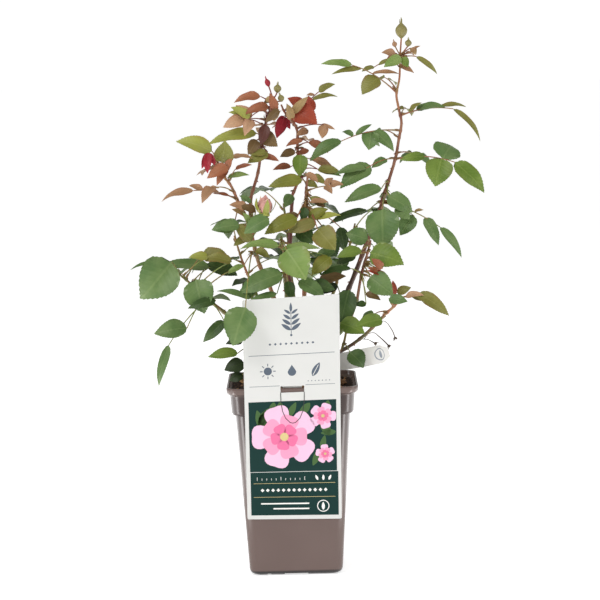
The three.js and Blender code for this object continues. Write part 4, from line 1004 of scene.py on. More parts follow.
add_shoot("centre_shoot", [[20.3, -10, 416.2], [21.2, -12, 442.8], [23.1, -13, 455.6]], [
    leaf(420, [33, -44, 397], [18, -12, -21], 32, 28, 70, "olive"),
    leaf(424, [10, -38, 410], [-38, -8, -17], 42, 20, 60, "moss"),
    leaf(428, [31, -30, 408], [29, -2, 5], 29, 9, 50, "lime"),
    leaf(432, [25, -26, 427], [20, -6, 0], 22, 9, 40, "bronze"),
    leaf(438, [47, -16, 444], [14, -2, 2], 17, 10, 45, "bronze", pairs=1),
    leaf(448, [17, -20, 452], [-37, -4, -6], 40, 17, 55, "moss"),
    leaf(430, [19, -26, 421], [-3, -4, -15], 16, 11, 70, "deep"),
    leaf(420, [59, -4, 396], [4, 4, -26], 29, 15, 60, "deep"),
    leaf(418, [43, -22, 391], [10, -4, -25], 30, 22, 70, "deep"),
    leaf(424, [31, -36, 404], [-33, -6, -10], 35, 16, 65, "rust"),
    leaf(427, [23, -26, 408], [22, -2, 11], 25, 14, 60, "moss"),
    leaf(426, [11, -30, 397], [15, -5, -16], 24, 20, 65, "deep"),
    leaf(436, [30, -16, 426], [13, -2, -6], 14, 8, 50, "dusk"),
    leaf(454, [21, -16, 459], [14, -4, -10], 18, 9, 55, "bronze"),
    leaf(426, [11, -32, 413], [-22, -4, -4], 23, 9, 60, "dusk"),
    leaf(442, [25, -18, 431], [19, -2, -6], 20, 8, 60, "moss"),
    leaf(418, [55, -14, 371], [-19, -6, -11], 23, 13, 60, "mid"),
    leaf(417, [12, -2, 357], [15, -6, -10], 19, 12, 60, "mid"),
])
add_shoot("front_shoot", [[-5.7, -32, 343.1], [-5.9, -38, 370], [-8.9, -40, 389.7]], [
    leaf(384, [-3, -62, 376], [20, -12, -31], 41, 38, 75, "pale"),
    leaf(350, [-8, -44, 347], [-51, -8, -20], 55, 25, 60, "mid"),
    leaf(386, [-11, -54, 380], [-44, -8, 1], 45, 14, 45, "pale"),
    leaf(347, [-15, -50, 325], [-34, -6, -7], 35, 9, 50, "mid"),
    leaf(387, [-9, -52, 375], [44, -8, 2], 45, 13, 35, "pale"),
    leaf(354, [10, -58, 340], [30, -8, -20], 37, 18, 60, "mid"),
    leaf(350, [-2, -50, 339], [3, -4, -20], 21, 13, 75, "deep"),
    leaf(372, [47, -48, 365], [-22, -6, -19], 30, 18, 65, "moss"),
    leaf(360, [33, -36, 337], [31, -6, 6], 32, 14, 65, "dusk"),
    leaf(382, [31, -40, 365], [22, -4, 6], 23, 14, 50, "mid"),
    leaf(352, [25, -48, 335], [26, -4, -6], 27, 16, 65, "deep"),
    leaf(376, [-38, -40, 375], [16, -6, -9], 19, 10, 60, "olive"),
    leaf(348, [-45, -50, 320], [-38, -6, 11], 40, 9, 50, "mid"),
    leaf(350, [1, -26, 349], [-12, -6, -15], 20, 9, 65, "red_brown"),
])
add_shoot("hanging_shoot", [[-37.3, -14, 365.9], [-43.2, -26, 371.2], [-46.1, -34, 372.5]], [
    leaf(371, [-50, -106, 316], [-14, -5, -40], 45, 37, 85, "mid"),
    leaf(370, [-52, -40, 357], [-18, -4, -5], 19, 7, 50, "pale"),
])
add_shoot("side_shoot", [[76.9, -27, 315.8], [81.7, -30, 341.6], [90.3, -32, 371.2], [93.2, -33, 382.1]], [
    leaf(370, [92, -46, 369], [36, -12, -11], 41, 30, 70, "bright"),
    leaf(358, [105, -62, 352], [-12, -2, 12], 17, 10, 65, "red_brown"),
    leaf(352, [91, -52, 342], [24, -10, -19], 34, 27, 75, "mid"),
    leaf(340, [86, -46, 323], [17, -4, -8], 19, 9, 60, "dusk"),
    leaf(347, [118, -44, 320], [-1, -2, 17], 17, 8, 70, "red"),
    leaf(343, [122, -40, 322], [16, -2, 6], 17, 11, 60, "olive"),
    leaf(378, [90, -22, 382], [-25, 2, 8], 26, 21, 70, "mid"),
    leaf(376, [82, -46, 372], [-26, -6, -6], 30, 15, 50, "bright"),
    leaf(368, [77, -18, 364], [-22, 8, -8], 27, 17, 50, "deep"),
    leaf(360, [110, -2, 363], [10, 22, -13], 30, 20, 35, "mid", pairs=1),
    leaf(343, [70, -42, 351], [-36, -6, -5], 37, 10, 40, "deep"),
    leaf(356, [110, -52, 343], [-22, -2, 7], 23, 7, 55, "red"),
    leaf(352, [100, -56, 348], [-12, -2, 5], 13, 6, 55, "red_brown"),
    leaf(344, [86, -50, 311], [-13, -4, 0], 14, 8, 60, "deep"),
])
add_shoot("low_right_shoot", [[106.5, -59, 299.5], [118.2, -62, 309.6], [126, -63, 318.5]], [
    leaf(316, [145, -66, 324], [33, -8, -24], 43, 17, 50, "olive", [[0.3, [20, -8, 3], 9, "blush"],
         [0.55, [14, 8, -8], 9]]),
    leaf(309, [111, -76, 319], [21, -6, -3], 22, 13, 60, "mid"),
    leaf(302, [103, -74, 296], [-26, -12, -5], 33, 18, 60, "bright"),
    leaf(302, [95, -34, 297], [-14, 14, -10], 24, 16, 40, "mid"),
])
add_shoot("low_centre_shoot", [[57.6, -33, 256.8], [61.5, -40, 271.9], [64.3, -44, 289.8]], [
    leaf(286, [56, -58, 291], [24, -8, -10], 31, 22, 58, "bright"),
    leaf(289, [67, -50, 328], [-11, -4, -43], 47, 25, 80, "deep"),
    leaf(264, [66, -70, 259], [16, -4, -18], 24, 21, 65, "deep"),
    # This leaf takes the shade tint: painted shade.
    leaf(288, [54, -20, 331], [-18, -6, -9], 22, 12, 60, "shade"),
])
add_shoot("low_left_shoot", [[-90.1, -14, 313.4], [-111.8, -14, 333], [-127.5, -12, 346.6]], [
    leaf(346, [-135, -20, 361], [-35, -10, -39], 55, 47, 80, "mid"),
    leaf(346, [-149, -4, 358], [-33, 2, -4], 36, 9, 20, "mid"),
    leaf(333, [-107, -36, 342], [8, -8, -35], 40, 35, 80, "mid"),
    leaf(335, [-92, 2, 352], [-53, -2, 3], 58, 19, 40, "mid"),
    leaf(330, [-96, 6, 355], [36, 2, -13], 38, 21, 55, "deep"),
    leaf(340, [-100, -10, 368], [28, -4, -3], 32, 20, 60, "olive"),
    leaf(343, [-93, -16, 366], [-23, -4, 0], 23, 12, 55, "lime"),
    leaf(321, [-119, -34, 286], [-35, -6, -4], 38, 23, 60, "mid"),
    leaf(317, [-140, -40, 268], [-13, -2, -46], 49, 11, 75, "mid"),
    leaf(317, [-76, -40, 294], [-24, -4, -22], 34, 14, 70, "deep"),
    leaf(339, [-128, 26, 343], [-18, 22, -13], 36, 22, 40, "mid", pairs=1),
    leaf(321, [-92, 22, 310], [-10, 26, -13], 34, 20, 40, "deep", pairs=1),
    leaf(325, [-54, -20, 355], [-17, -4, -8], 19, 8, 50, "pale"),
    leaf(330, [-66, -30, 361], [-29, -4, 7], 30, 13, 60, "olive"),
    leaf(322, [-85, -44, 318], [-32, -6, -7], 33, 12, 70, "deep"),
])
add_shoot("rim_left_shoot", [[-31.9, -8, 257.3], [-42.7, -24, 260.8], [-50.5, -40, 259.4]], [
    leaf(262, [-61, -60, 259], [-33, -6, -2], 34, 14, 55, "bright"),
    # These three leaves take the shade tint: painted shade, as the leaves above shade them.
    leaf(261, [-55, -58, 273], [-19, -4, -2], 20, 10, 60, "shade"),
    leaf(260, [-54, -62, 248], [-22, -4, -7], 24, 18, 60, "shade"),
    leaf(258, [-56, -64, 235], [-15, -4, -6], 17, 12, 70, "shade"),
])

# %% [markdown]
# ## Shoots behind
# Three shoots at the back are seen only from the other sides, so no picture gives their leaves. They
# follow the habit of the plant: one leaf after another round the stem, each turned on by the golden
# angle, with a little chance in reach and size.

# %% Shoots behind, by rule
GOLDEN_TURN = 2.4            # radians from one leaf to the next
RULE_STEPS = 24


def rule_leaves(marks, count, reach, length, width, seed, tone):
    """Rows for the leaves of a shoot that no picture shows."""
    draw = seeded(seed)
    path = smooth_run(marks, RULE_STEPS)
    rows = []
    for i in range(count):
        share = (i + 0.4) / count
        foot = path[round(share * RULE_STEPS)]
        turn = seed + i * GOLDEN_TURN
        rise = 0.15 + 0.5 * share + 0.2 * (draw() - 0.5)
        far = reach * (0.85 + 0.3 * draw())
        out = Vector((math.cos(turn), math.sin(turn), 0))
        to = foot + out * far * math.cos(rise) + UP * far * math.sin(rise)
        tip = out - UP * (0.45 + 0.4 * draw())
        size = 0.9 + 0.25 * draw()
        pairs = 2 if i == 2 else 1
        rows.append(leaf(foot.z, to, tip, length * size, width * size, 35, tone, (), pairs, turn))
    return rows


back_rows = [
    ("back_left_shoot", "deep", [[-43, 56, 321.7], [-54.9, 66, 349.8], [-64.9, 72, 382.9]], 42, 11),
    ("back_right_shoot", "mid", [[55.2, 60, 328], [68.7, 74, 360], [78.3, 86, 393]], 40, 21),
    ("back_shoot", "deep", [[0.1, 76, 344.8], [-2.1, 98, 382.2], [-6.2, 110, 417.1]], 42, 43),
]
for name, tone, marks, reach, seed in back_rows:
    add_shoot(name, marks, rule_leaves(marks, 5, reach, 34, 24, seed, tone))
print("shoots:", len(shoots), "leaves:", sum(len(shoot["leaves"]) for shoot in shoots))

# %% [markdown]
# ## One leaflet
# A rose leaflet is an egg-shaped blade with a saw-toothed margin, a sunk rib and a paler underside. It is
# modelled once, flat: a small grid is drawn in row by row to the outline, its margin is cut into teeth,
# and a flipped copy closes it below. A few dozen faces are enough, because hundreds of copies are made.

# %% The leaflet, modelled flat
BLADE_ROWS = 8
OUTLINE = [(0, 0), (0.05, 0.53), (0.16, 0.88), (0.31, 1), (0.47, 0.97), (0.62, 0.84), (0.77, 0.59),
           (0.9, 0.26), (1, 0)]          # share of the length, share of the half width
TOOTH_OUT = 0.014
TOOTH_ON = 0.02
ASIDE = 3                    # rows that are done wait this far off, out of the way of the next pick

clear_selection()
bpy.ops.mesh.primitive_grid_add(x_subdivisions=4, y_subdivisions=BLADE_ROWS, size=2, location=(0, 0, 0))
blade = new_piece("leaflet_master")
open_edit(blade)
for row, (along, half) in enumerate(OUTLINE):
    level = -1 + 2 * row / BLADE_ROWS
    pick(blade, "VERT", lambda m, v: abs(m.y - level) < 0.01)
    bpy.ops.transform.resize(value=(max(half, 0.002), 1, 1), center_override=(0, level, 0))
    bpy.ops.transform.translate(value=(0, ASIDE + 2 * along - 1 - level, 0))
bpy.ops.mesh.select_all(action="SELECT")
bpy.ops.transform.translate(value=(0, -ASIDE, 0))
bpy.ops.mesh.remove_doubles(threshold=0.005)
bpy.ops.mesh.select_all(action="SELECT")
bpy.ops.mesh.region_to_loop()
bpy.ops.mesh.subdivide(number_cuts=3)
close_edit()
print("flat leaflet:", len(blade.data.vertices), "points,", len(blade.data.polygons), "faces")

# %% The leaflet's teeth


def edge_uses(piece):
    """How many faces use each edge of a piece."""
    uses = {}
    for face in piece.data.polygons:
        for key in face.edge_keys:
            uses[key] = uses.get(key, 0) + 1
    return uses


def margin_teeth(piece, side):
    """The point numbers of every second point on one side's margin, from base to tip."""
    rim = {v for key, count in edge_uses(piece).items() if count == 1 for v in key}
    points = piece.data.vertices
    rim = sorted((v for v in rim if points[v].co.x * side > 1e-4), key=lambda v: points[v].co.y)
    return set(rim[1::2])


for side in (-1, 1):
    teeth = margin_teeth(blade, side)
    open_edit(blade)
    pick(blade, "VERT", lambda m, v: v.index in teeth)
    bpy.ops.transform.translate(value=(side * TOOTH_OUT, 2 * TOOTH_ON, 0))
    close_edit()

# %% The leaflet, closed by an underside
open_edit(blade)
bpy.ops.mesh.duplicate()
bpy.ops.mesh.flip_normals()
bpy.ops.mesh.select_mode(type="VERT")
bpy.ops.mesh.select_non_manifold(extend=False)
bpy.ops.mesh.remove_doubles(threshold=1e-5)
close_edit()
blade_points, blade_faces = mesh_arrays(blade)
print("leaflet faces:", len(blade_faces), "closed:", all(count == 2 for count in edge_uses(blade).values()))
ALONG = (blade_points[:, 1] + 1) / 2     # each point's share of the way from base to tip
SIDE = blade_points[:, 0]                # and its place across, from -1 to 1
faces_up = np.array([face.normal.z > 0 for face in blade.data.polygons])
outer = {v for face, up in zip(blade_faces, faces_up) if up for v in face}
UNDER = np.array([0.0 if v in outer else 1.0 for v in range(len(blade_points))])    # 1 on the underside
BLADE_MAP = np.stack([SIDE / 2 + 0.5, ALONG], 1)
bpy.data.objects.remove(blade)

# %% [markdown]
# ## Bending a leaflet
# No two leaflets lie alike. Each copy of the flat one is folded along its rib, arched, cupped, rippled
# and twisted by a formula, with amounts from a seeded draw. Young red leaves are still half folded, so
# they get more fold and more ripple than grown ones.

# %% Bending
YOUNG = ("crimson", "red", "red_brown", "copper", "bronze", "tan", "blush", "plum")
ARCH = 0.3                   # how far a leaflet arches along its rib, as a share of its length
RIPPLES = 10                 # radians of ripple from base to tip


def mood_for(tone, draw):
    """The amounts of every bend for one leaflet."""
    young = tone in YOUNG
    return {
        "fold": (0.22 if young else 0.16) + (0.3 if young else 0.22) * draw(),
        "cup": 0.16 * draw() - 0.04,
        "droop": 0.45 * draw(),
        "ripple": (0.1 if young else 0.05) + 0.08 * draw(),
        "phase": math.tau * draw(),
        "twist": 0.7 * (draw() - 0.5),
        "bow": 0.16 * (draw() - 0.5),
    }


def unit(way):
    way = np.array(way, float)
    return way / np.linalg.norm(way)


def bend_blade(base, way, facing, length, width, mood):
    """The points of one leaflet in millimetres: from its base along way, with its face to facing."""
    axis = unit(way)
    facing = np.array(facing, float)
    normal = unit(facing - axis * facing.dot(axis))
    across = np.cross(normal, axis)
    half = width / 2
    side = SIDE * half
    lift = mood["fold"] * np.abs(side) - mood["cup"] * side ** 2 / half
    lift = lift + ARCH * length * ALONG * (1 - ALONG)
    lift = lift - mood["droop"] * length * np.clip(ALONG - 0.5, 0, None) ** 2
    wave = np.sin(mood["phase"] + RIPPLES * ALONG + 1.5 * np.sign(SIDE))
    lift = lift + mood["ripple"] * half * SIDE ** 2 * wave
    lift = lift - UNDER * (0.25 + 0.004 * length)
    turn = mood["twist"] * (ALONG - 0.3)
    turned_side = side * np.cos(turn) - lift * np.sin(turn)
    turned_lift = side * np.sin(turn) + lift * np.cos(turn)
    turned_side = turned_side + mood["bow"] * length * ALONG * (1 - ALONG)
    return (np.array(base, float) + np.outer(ALONG * length, axis) + np.outer(turned_side, across)
            + np.outer(turned_lift, normal))


# %% [markdown]
# ## One compound leaf
# A rose leaf is a stalk with a leaflet at its end and pairs of leaflets along it. The stalk bends up and
# over from the stem, and two narrow wings, the stipules, clasp it at the foot. The rule below is the one
# that the fixed model's solids were made by, so leaves fall where the solids have them.

# %% A compound leaf by rule


def on_stem(path, up):
    return min(path, key=lambda p: abs(p.z - up)).copy()


def quadratic(a, b, c, t):
    return a * (1 - t) ** 2 + b * 2 * t * (1 - t) + c * t ** 2


def quadratic_way(a, b, c, t):
    return ((b - a) * (1 - t) + (c - b) * t).normalized()


STALK_STEPS = 9
STALK_RISE = 0.14            # how far a stalk bends up, as a share of its reach
PAIR_GAP = 0.66              # from pair to pair, as a share of the end leaflet's length
STIPULE_LONG = 8.5
STIPULE_WIDE = 2.6
SHORT_STALK = 12             # a stalk with less reach has no stipules


def side_pairs(row, foot, bend, end, facing, draw):
    """The leaflets of a leaf's pairs, each as place, way, facing, length, width and tint."""
    length, width = row["blade"]
    tip = Vector(row["tip"]).normalized()
    made = []
    for pair in range(row["pairs"]):
        back = min(0.85, (pair + 0.35) * length * PAIR_GAP / max((end - foot).length, 1))
        share = max(0.15, 1 - back)
        place = quadratic(foot, bend, end, share)
        along = (quadratic_way(foot, bend, end, share) * 0.6 + tip * 0.4).normalized()
        normal = (facing - along * facing.dot(along)).normalized()
        across = normal.cross(along)
        for hand in (-1, 1):
            spread = 1.05 + 0.2 * (draw() - 0.5)
            scale = (0.84 - 0.14 * pair) * (0.94 + 0.12 * draw())
            way = along * math.cos(spread) + across * (hand * math.sin(spread))
            made.append((place, way, normal, length * scale, width * scale, row["tone"]))
    return made


def stipules(foot, start, wobble):
    """The two narrow wings at a stalk's foot, which point along start."""
    across = start.cross(UP).normalized() if abs(start.z) < 0.95 else Vector((1, 0, 0))
    made = []
    for hand in (-1, 1):
        way = start * 0.9 + across * (0.32 * hand)
        mood = mood_for("mid", wobble)
        wing = bend_blade(foot + start * 0.6, way, UP + across * hand, STIPULE_LONG, STIPULE_WIDE, mood)
        made.append((wing, "stipule"))
    return made


def compound_leaf(path, row, draw, wobble):
    """The stalk's run and the leaflets of one leaf. draw repeats the solids' numbers, wobble adds life."""
    foot = on_stem(path, row["up"])
    end = Vector(row["to"])
    reach = (end - foot).length
    bend = foot.lerp(end, 0.5) + UP * (STALK_RISE * reach)
    run = [quadratic(foot, bend, end, i / STALK_STEPS) for i in range(STALK_STEPS + 1)]
    thick = [0.85 - 0.3 * i / STALK_STEPS for i in range(STALK_STEPS + 1)]
    thick[:2] = [1.35, 1.0]
    tilt = math.radians(row["face"])
    facing = Vector((math.cos(row["look"]) * math.sin(tilt), math.sin(row["look"]) * math.sin(tilt),
                     math.cos(tilt)))
    blades = [(end, Vector(row["tip"]).normalized(), facing, *row["blade"], row["tone"])]
    blades.extend(side_pairs(row, foot, bend, end, facing, draw))
    for share, way, wide, *tint in row["sides"]:
        way = Vector(way)
        tone = tint[0] if tint else row["tone"]
        blades.append((quadratic(foot, bend, end, share), way, facing, way.length, wide, tone))
    made = [(bend_blade(*where, mood_for(tone, wobble)), tone) for *where, tone in blades]
    if reach > SHORT_STALK:
        made.extend(stipules(foot, quadratic_way(foot, bend, end, 0), wobble))
    return run, thick, made


# %% [markdown]
# ## Leaf finishes
# The tints run from deep green low down to the bronze, red-brown and crimson of leaves that have just
# opened, and each leaf has one tint. The face is satin with a paler rib and faint side veins that follow
# the blade's own map, so they turn and bend with it, and its rim is a little redder. The underside is a
# greyer, duller green.

# %% Leaf tints: face, rib, rim and underside
tints = {
    # shade is a darker copy of the greens: painted shade for leaves that lie under others.
    "shade": ("1d2b0f", "36481f", "222c12", "44542f"),
    "deep": ("2c4517", "5a713c", "30431f", "667751"),
    "mid": ("54713c", "80935b", "546c36", "7e9068"),
    "bright": ("5a7326", "869848", "646a29", "7d8d58"),
    "pale": ("708a43", "9aaa6a", "7c7b3f", "8b986c"),
    "moss": ("6f7224", "8f904c", "7c562b", "8a8a56"),
    "lime": ("969a42", "adb064", "9a763e", "9da46a"),
    "olive": ("757332", "959354", "855035", "8d8b62"),
    "rust": ("6c6a33", "8c834d", "824a2c", "857c54"),
    "dusk": ("624b2b", "7c6640", "5c3326", "786a4e"),
    "plum": ("4a251d", "643a30", "3c1a18", "5c3c32"),
    "tan": ("9f8354", "b2986c", "935f3d", "a88f6a"),
    "bronze": ("a07856", "b38e6e", "945540", "a5866a"),
    "copper": ("9c5f40", "b07c5e", "84382a", "a4765e"),
    "red_brown": ("8e5135", "a46e50", "742a22", "98674f"),
    "red": ("963c27", "a9543a", "862a20", "a3604a"),
    "crimson": ("911724", "a9333f", "6e101c", "98404c"),
    "blush": ("b98f6e", "c4a180", "9c5c46", "b5967e"),
    "stipule": ("886842", "98794f", "804632", "917d56"),
    "sepal": ("867e4c", "9a9260", "85603f", "8d885c"),
    "pink": ("cd948a", "d8aa9e", "c0706a", "d0a196"),
    "petal": ("e0baa6", "e4c6b2", "d09080", "dcb8a8"),
}

# %% Leaf finishes
RIB_HALF = 0.02              # half the rib's width, as a share of the half blade
VEINS = 9                    # side veins on each half


def leaf_finish(name, face, rib, rim, rough):
    """A leaf's surface, with its rib and veins drawn on the blade's own map."""
    finish = Finish(name, face, rough, 0.3)
    blade_map = finish.node("ShaderNodeUVMap", uv_map="blade").outputs["UV"]
    parts = finish.node("ShaderNodeSeparateXYZ")
    finish.link(blade_map, parts.inputs["Vector"])
    aside = finish.math("ABSOLUTE", finish.math("SUBTRACT", parts.outputs["X"], 0.5))
    from_rib = finish.math("MULTIPLY", aside, 2)
    slant = finish.math("SUBTRACT", parts.outputs["Y"], finish.math("MULTIPLY", from_rib, 0.22))
    comb = finish.math("PINGPONG", finish.math("MULTIPLY", slant, VEINS), 0.5)
    vein = finish.span(comb, 0.0, 0.13, 1, 0)
    rib_line = finish.span(from_rib, RIB_HALF, 0.09, 1, 0)
    lines = finish.math("MAXIMUM", finish.math("MULTIPLY", vein, 0.35), rib_line)
    body = finish.mix(finish.span(finish.noise(55, 2), 0.3, 0.7, 0, 0.4), face, rib)
    edged = finish.mix(finish.span(from_rib, 0.62, 1.0, 0, 0.45), body, rim)
    finish.colour(finish.mix(finish.math("MULTIPLY", lines, 0.37), edged, rib))
    swell = finish.math("SUBTRACT", finish.math("MULTIPLY", comb, 1.2), rib_line)
    finish.relief(swell, 0.5, 0.35)
    return finish.material


leaf_faces = {tone: leaf_finish("leaf_" + tone, face, rib, rim, 0.42)
              for tone, (face, rib, rim, below) in tints.items()}
leaf_backs = {tone: leaf_finish("leaf_" + tone + "_below", below, rib, below, 0.62)
              for tone, (face, rib, rim, below) in tints.items()}

# %% [markdown]
# ## Buds
# A closed bud is a round hip under a pointed cone, and its sepals run out in thin tips. The one that is
# opening shows its petals, wrapped round each other like a pinwheel, over a green hip with five green
# sepals. A sphere is drawn out to either profile by moving its points, with shallow lobes for what wraps
# it, and the petals and sepals are leaflets bent closer.

# %% Buds
clear_selection()
bpy.ops.mesh.primitive_uv_sphere_add(segments=24, ring_count=16, radius=1, location=(0, 0, 0))
ball = new_piece("bud_master")
ball_points, ball_faces = mesh_arrays(ball)
bpy.data.objects.remove(ball)
CLOSED_BUD = [(0, 0.16), (0.06, 0.36), (0.14, 0.68), (0.26, 0.94), (0.38, 1), (0.5, 0.88), (0.6, 0.6),
              (0.68, 0.3), (0.76, 0.12), (1, 0.03)]
OPEN_BUD = [(0, 0.16), (0.1, 0.42), (0.22, 0.82), (0.4, 1), (0.6, 0.84), (0.8, 0.42), (1, 0.04)]


def bud_body(at, tip, size, lobes, depth, twist, profile):
    """Points of a bud in millimetres. lobes stand round it, depth deep, and turn by twist to the tip."""
    length, width = size
    axis = Vector(tip).normalized()
    side = axis.orthogonal().normalized()
    across = axis.cross(side)
    shares, halves = zip(*profile)
    points = []
    for x, y, z in ball_points:
        t = (z + 1) / 2
        around = math.atan2(y, x)
        lobe = 1 + depth * (abs(math.sin((around + twist * t) * lobes / 2)) - 0.6)
        far = width / 2 * np.interp(t, shares, halves) * lobe if math.hypot(x, y) > 1e-6 else 0
        points.append(Vector(at) + axis * (t * length) + side * (far * math.cos(around))
                      + across * (far * math.sin(around)))
    return np.array(points)


# %% Buds: the open one and the closed ones


def open_bud(at, tip, length, width, wobble):
    """The bodies, petals and sepals of a bud that is opening, each with its tint."""
    axis = Vector(tip).normalized()
    side = axis.orthogonal().normalized()
    inner = (length * 0.88, width * 0.86)
    hip = (length * 0.36, width * 0.62)
    bodies = [(bud_body(at + axis * 1.5, tip, inner, 3, 0.22, 2.6, OPEN_BUD), "pink"),
              (bud_body(at - axis * 1.5, tip, hip, 5, 0.1, 0, OPEN_BUD), "lime")]
    wings = []
    for k in range(5):
        out = Matrix.Rotation(math.tau * k / 5 + 0.9, 3, axis) @ side
        mood = {"fold": -0.62, "cup": 0.1, "droop": 0.05, "ripple": 0.02, "phase": k, "twist": 0.5,
                "bow": 0.05}
        start = at + out * (width * 0.16) + axis * (length * 0.1)
        way = axis + out * (0.16 - 0.02 * k)
        petal = bend_blade(start, way, out, length * (0.8 - 0.03 * k), width * 0.8, mood)
        wings.append((petal, "petal" if k % 2 else "pink"))
    for k in range(5):
        out = Matrix.Rotation(math.tau * k / 5 + 0.4, 3, axis) @ side
        way = axis + out * (0.36 + 0.3 * wobble())
        start = at + out * (width * 0.22) + axis * (length * 0.12)
        mood = mood_for("lime", wobble) | {"twist": 0}
        wings.append((bend_blade(start, way, out, length * 0.7, width * 0.36, mood), "lime"))
    return bodies, wings


def closed_bud(at, tip, length, width, tone, wobble):
    """The body of a closed bud, and the two sepal tips that stand out above it."""
    axis = Vector(tip).normalized()
    side = axis.orthogonal().normalized()
    wings = []
    for k in range(2):
        out = Matrix.Rotation(math.tau * k / 5 + 0.4, 3, axis) @ side
        start = at + out * (width * 0.06) + axis * (length * 0.66)
        reach = length * (0.22 + 0.1 * wobble())
        mood = mood_for(tone, wobble) | {"twist": 0}
        wings.append((bend_blade(start, axis + out * 0.22, out, reach, width * 0.1, mood), tone))
    return [(bud_body(at, tip, (length, width), 5, 0.1, 0, CLOSED_BUD), tone)], wings


def make_bud(row, wobble):
    """The bodies and the thin parts of one bud, each as points and a tint."""
    at = Vector(row["at"])
    if row["tone"] == "pink":
        return open_bud(at, row["tip"], *row["size"], wobble)
    tone = "sepal" if row["tone"] == "olive" else row["tone"]
    return closed_bud(at, row["tip"], *row["size"], tone, wobble)


# %% [markdown]
# ## Growing the shoots
# Now every shoot is grown: its stem as a thin limb that swells where a leaf stands, its leaf stalks as
# finer limbs, then its leaflets, joined into one mesh with a material for each tint and side. Keeping
# stem, stalks, leaves and buds as four pieces of each shoot makes any of them easy to find and restyle.

# %% Barks and widths of the shoots
shoot_bark = {"tall_shoot_top": tan_bark, "tall_shoot_middle": red_bark, "tall_shoot_lower": red_bark,
              "upper_left_shoot": dark_bark, "left_shoot": tan_bark, "centre_upper_shoot": rust_bark,
              "centre_shoot": red_bark, "side_shoot": red_bark, "low_right_shoot": tan_bark,
              "back_left_shoot": tan_bark}
shoot_radii = {"tall_shoot_lower": [2.15, 1.8], "tall_shoot_middle": [1.8, 1.5],
               "tall_shoot_top": [1.5, 0.95]}
SUNK = 2                     # millimetres that a stem starts inside the limb below it
STEM_STEPS = 60
LEAF_SWELL = 0.28            # share by which a stem is thicker where a leaf stands
CANE_CLEAR = 3.2             # millimetres that a leaflet's rib keeps from a cane's middle line
stalk_green = bark("green_stalk", "7f8f45", "9a7a48", 0.5, 0.05)
stalk_red = bark("red_stalk", "96583e", "8a7848", 0.5, 0.05)
stalk_dark = bark("dark_red_stalk", "7a3833", "96584a", 0.5, 0.05)
shoot_stalks = {"tall_shoot_top": stalk_red, "tall_shoot_middle": stalk_red, "upper_left_shoot": stalk_dark,
                "left_shoot": stalk_red, "centre_upper_shoot": stalk_dark, "centre_shoot": stalk_red,
                "low_right_shoot": stalk_red}
slots = {part["node"]: part["material_slot"] for part in frame["record"]["subparts"]}


def joined(name, parts, one_faces, one_up, one_map, degrees):
    """One mesh from bent copies of one shape, with a material for each tint, and one for its underside."""
    used = sorted({tone for points, tone in parts})
    points = np.concatenate([p for p, tone in parts]) * MM
    faces = copied_faces(one_faces, len(one_map), len(parts))
    kinds = [used.index(tone) + (0 if up else len(used)) for shape, tone in parts for up in one_up]
    piece = piece_from(name, points, faces, kinds, np.tile(one_map, (len(parts), 1)))
    smooth_below(piece, degrees)
    backs = [] if all(one_up) else [leaf_backs[tone] for tone in used]
    return piece, [leaf_faces[tone] for tone in used] + backs


def too_near(points, cane_points):
    """Whether a leaflet's rib comes within a few millimetres of a cane's middle line."""
    rib = points[np.abs(SIDE) < 0.3]
    gaps = np.linalg.norm(rib[:, None, :] - cane_points[None, :, :], axis=2)
    return gaps.min() < CANE_CLEAR


BUD_MAP = np.full((len(ball_points), 2), 0.3)    # a place on the leaf's map between rib and margin
BUD_UP = [True] * len(ball_faces)

# %% Grow every shoot
all_canes = np.array([p for path in cane_paths.values() for p in path])
leaflets = 0
left_out = 0
stem_runs = []
for index, shoot in enumerate(shoots):
    name = shoot["name"]
    draw = seeded(100 + index)
    wobble = seeded(900 + index)
    marks = [Vector(mark) for mark in shoot["stem"]]
    marks[0] = marks[0] - (marks[1] - marks[0]).normalized() * SUNK
    path = smooth_run(marks, STEM_STEPS)
    along = lengths_of(path)
    feet = [min(range(len(path)), key=lambda i: abs(path[i].z - row["up"])) for row in shoot["leaves"]]
    thick = []
    for radius, length in zip(radii_on(path, shoot_radii.get(name, [1.75, 1.05])), along):
        swell = sum(math.exp(-(((length - along[foot]) / 1.6) ** 2)) for foot in feet)
        thick.append(radius * (1 + LEAF_SWELL * min(swell, 1.3)))
    stem = curve_mesh(name + "_stem", [(path, thick)], 12)
    smooth_below(stem, 60)
    hand_over(stem, [shoot_bark.get(name, green_bark)], "green_bark")
    stem_runs.append((path, thick))
    stalks = []
    blades = []
    for row in shoot["leaves"]:
        run, width, made = compound_leaf(path, row, draw, wobble)
        stalks.append((run, width))
        for shape, tone in made:
            if tone != "stipule" and too_near(shape, all_canes):
                left_out += 1
            else:
                blades.append((shape, tone))
    bodies = []
    for row in shoot["buds"]:
        foot = on_stem(path, row["up"])
        at = Vector(row["at"])
        stalks.append(([foot, foot.lerp(at, 0.5), at + Vector(row["tip"]).normalized()], [0.8, 0.75, 0.85]))
        made, wings = make_bud(row, wobble)
        bodies.extend(made)
        blades.extend(wings)
    stalk_piece = curve_mesh(name + "_stalks", stalks, 8)
    smooth_below(stalk_piece, 60)
    hand_over(stalk_piece, [shoot_stalks.get(name, stalk_green)], "green_bark")
    leaf_piece, materials = joined(name + "_leaves", blades, blade_faces, faces_up, BLADE_MAP, 58)
    hand_over(leaf_piece, materials, slots[name], name)
    leaflets += len(blades)
    if bodies:
        body_piece, materials = joined(name + "_buds", bodies, ball_faces, BUD_UP, BUD_MAP, 60)
        hand_over(body_piece, materials, slots[name])
print("leaflets:", leaflets, "left out beside a cane:", left_out)

# %% Small prickles on the shoots
shoot_prickles = set_prickles("shoot_prickles", stem_runs, 13, 1.9, 5)
hand_over(shoot_prickles, [prickle_red], "red_bark")

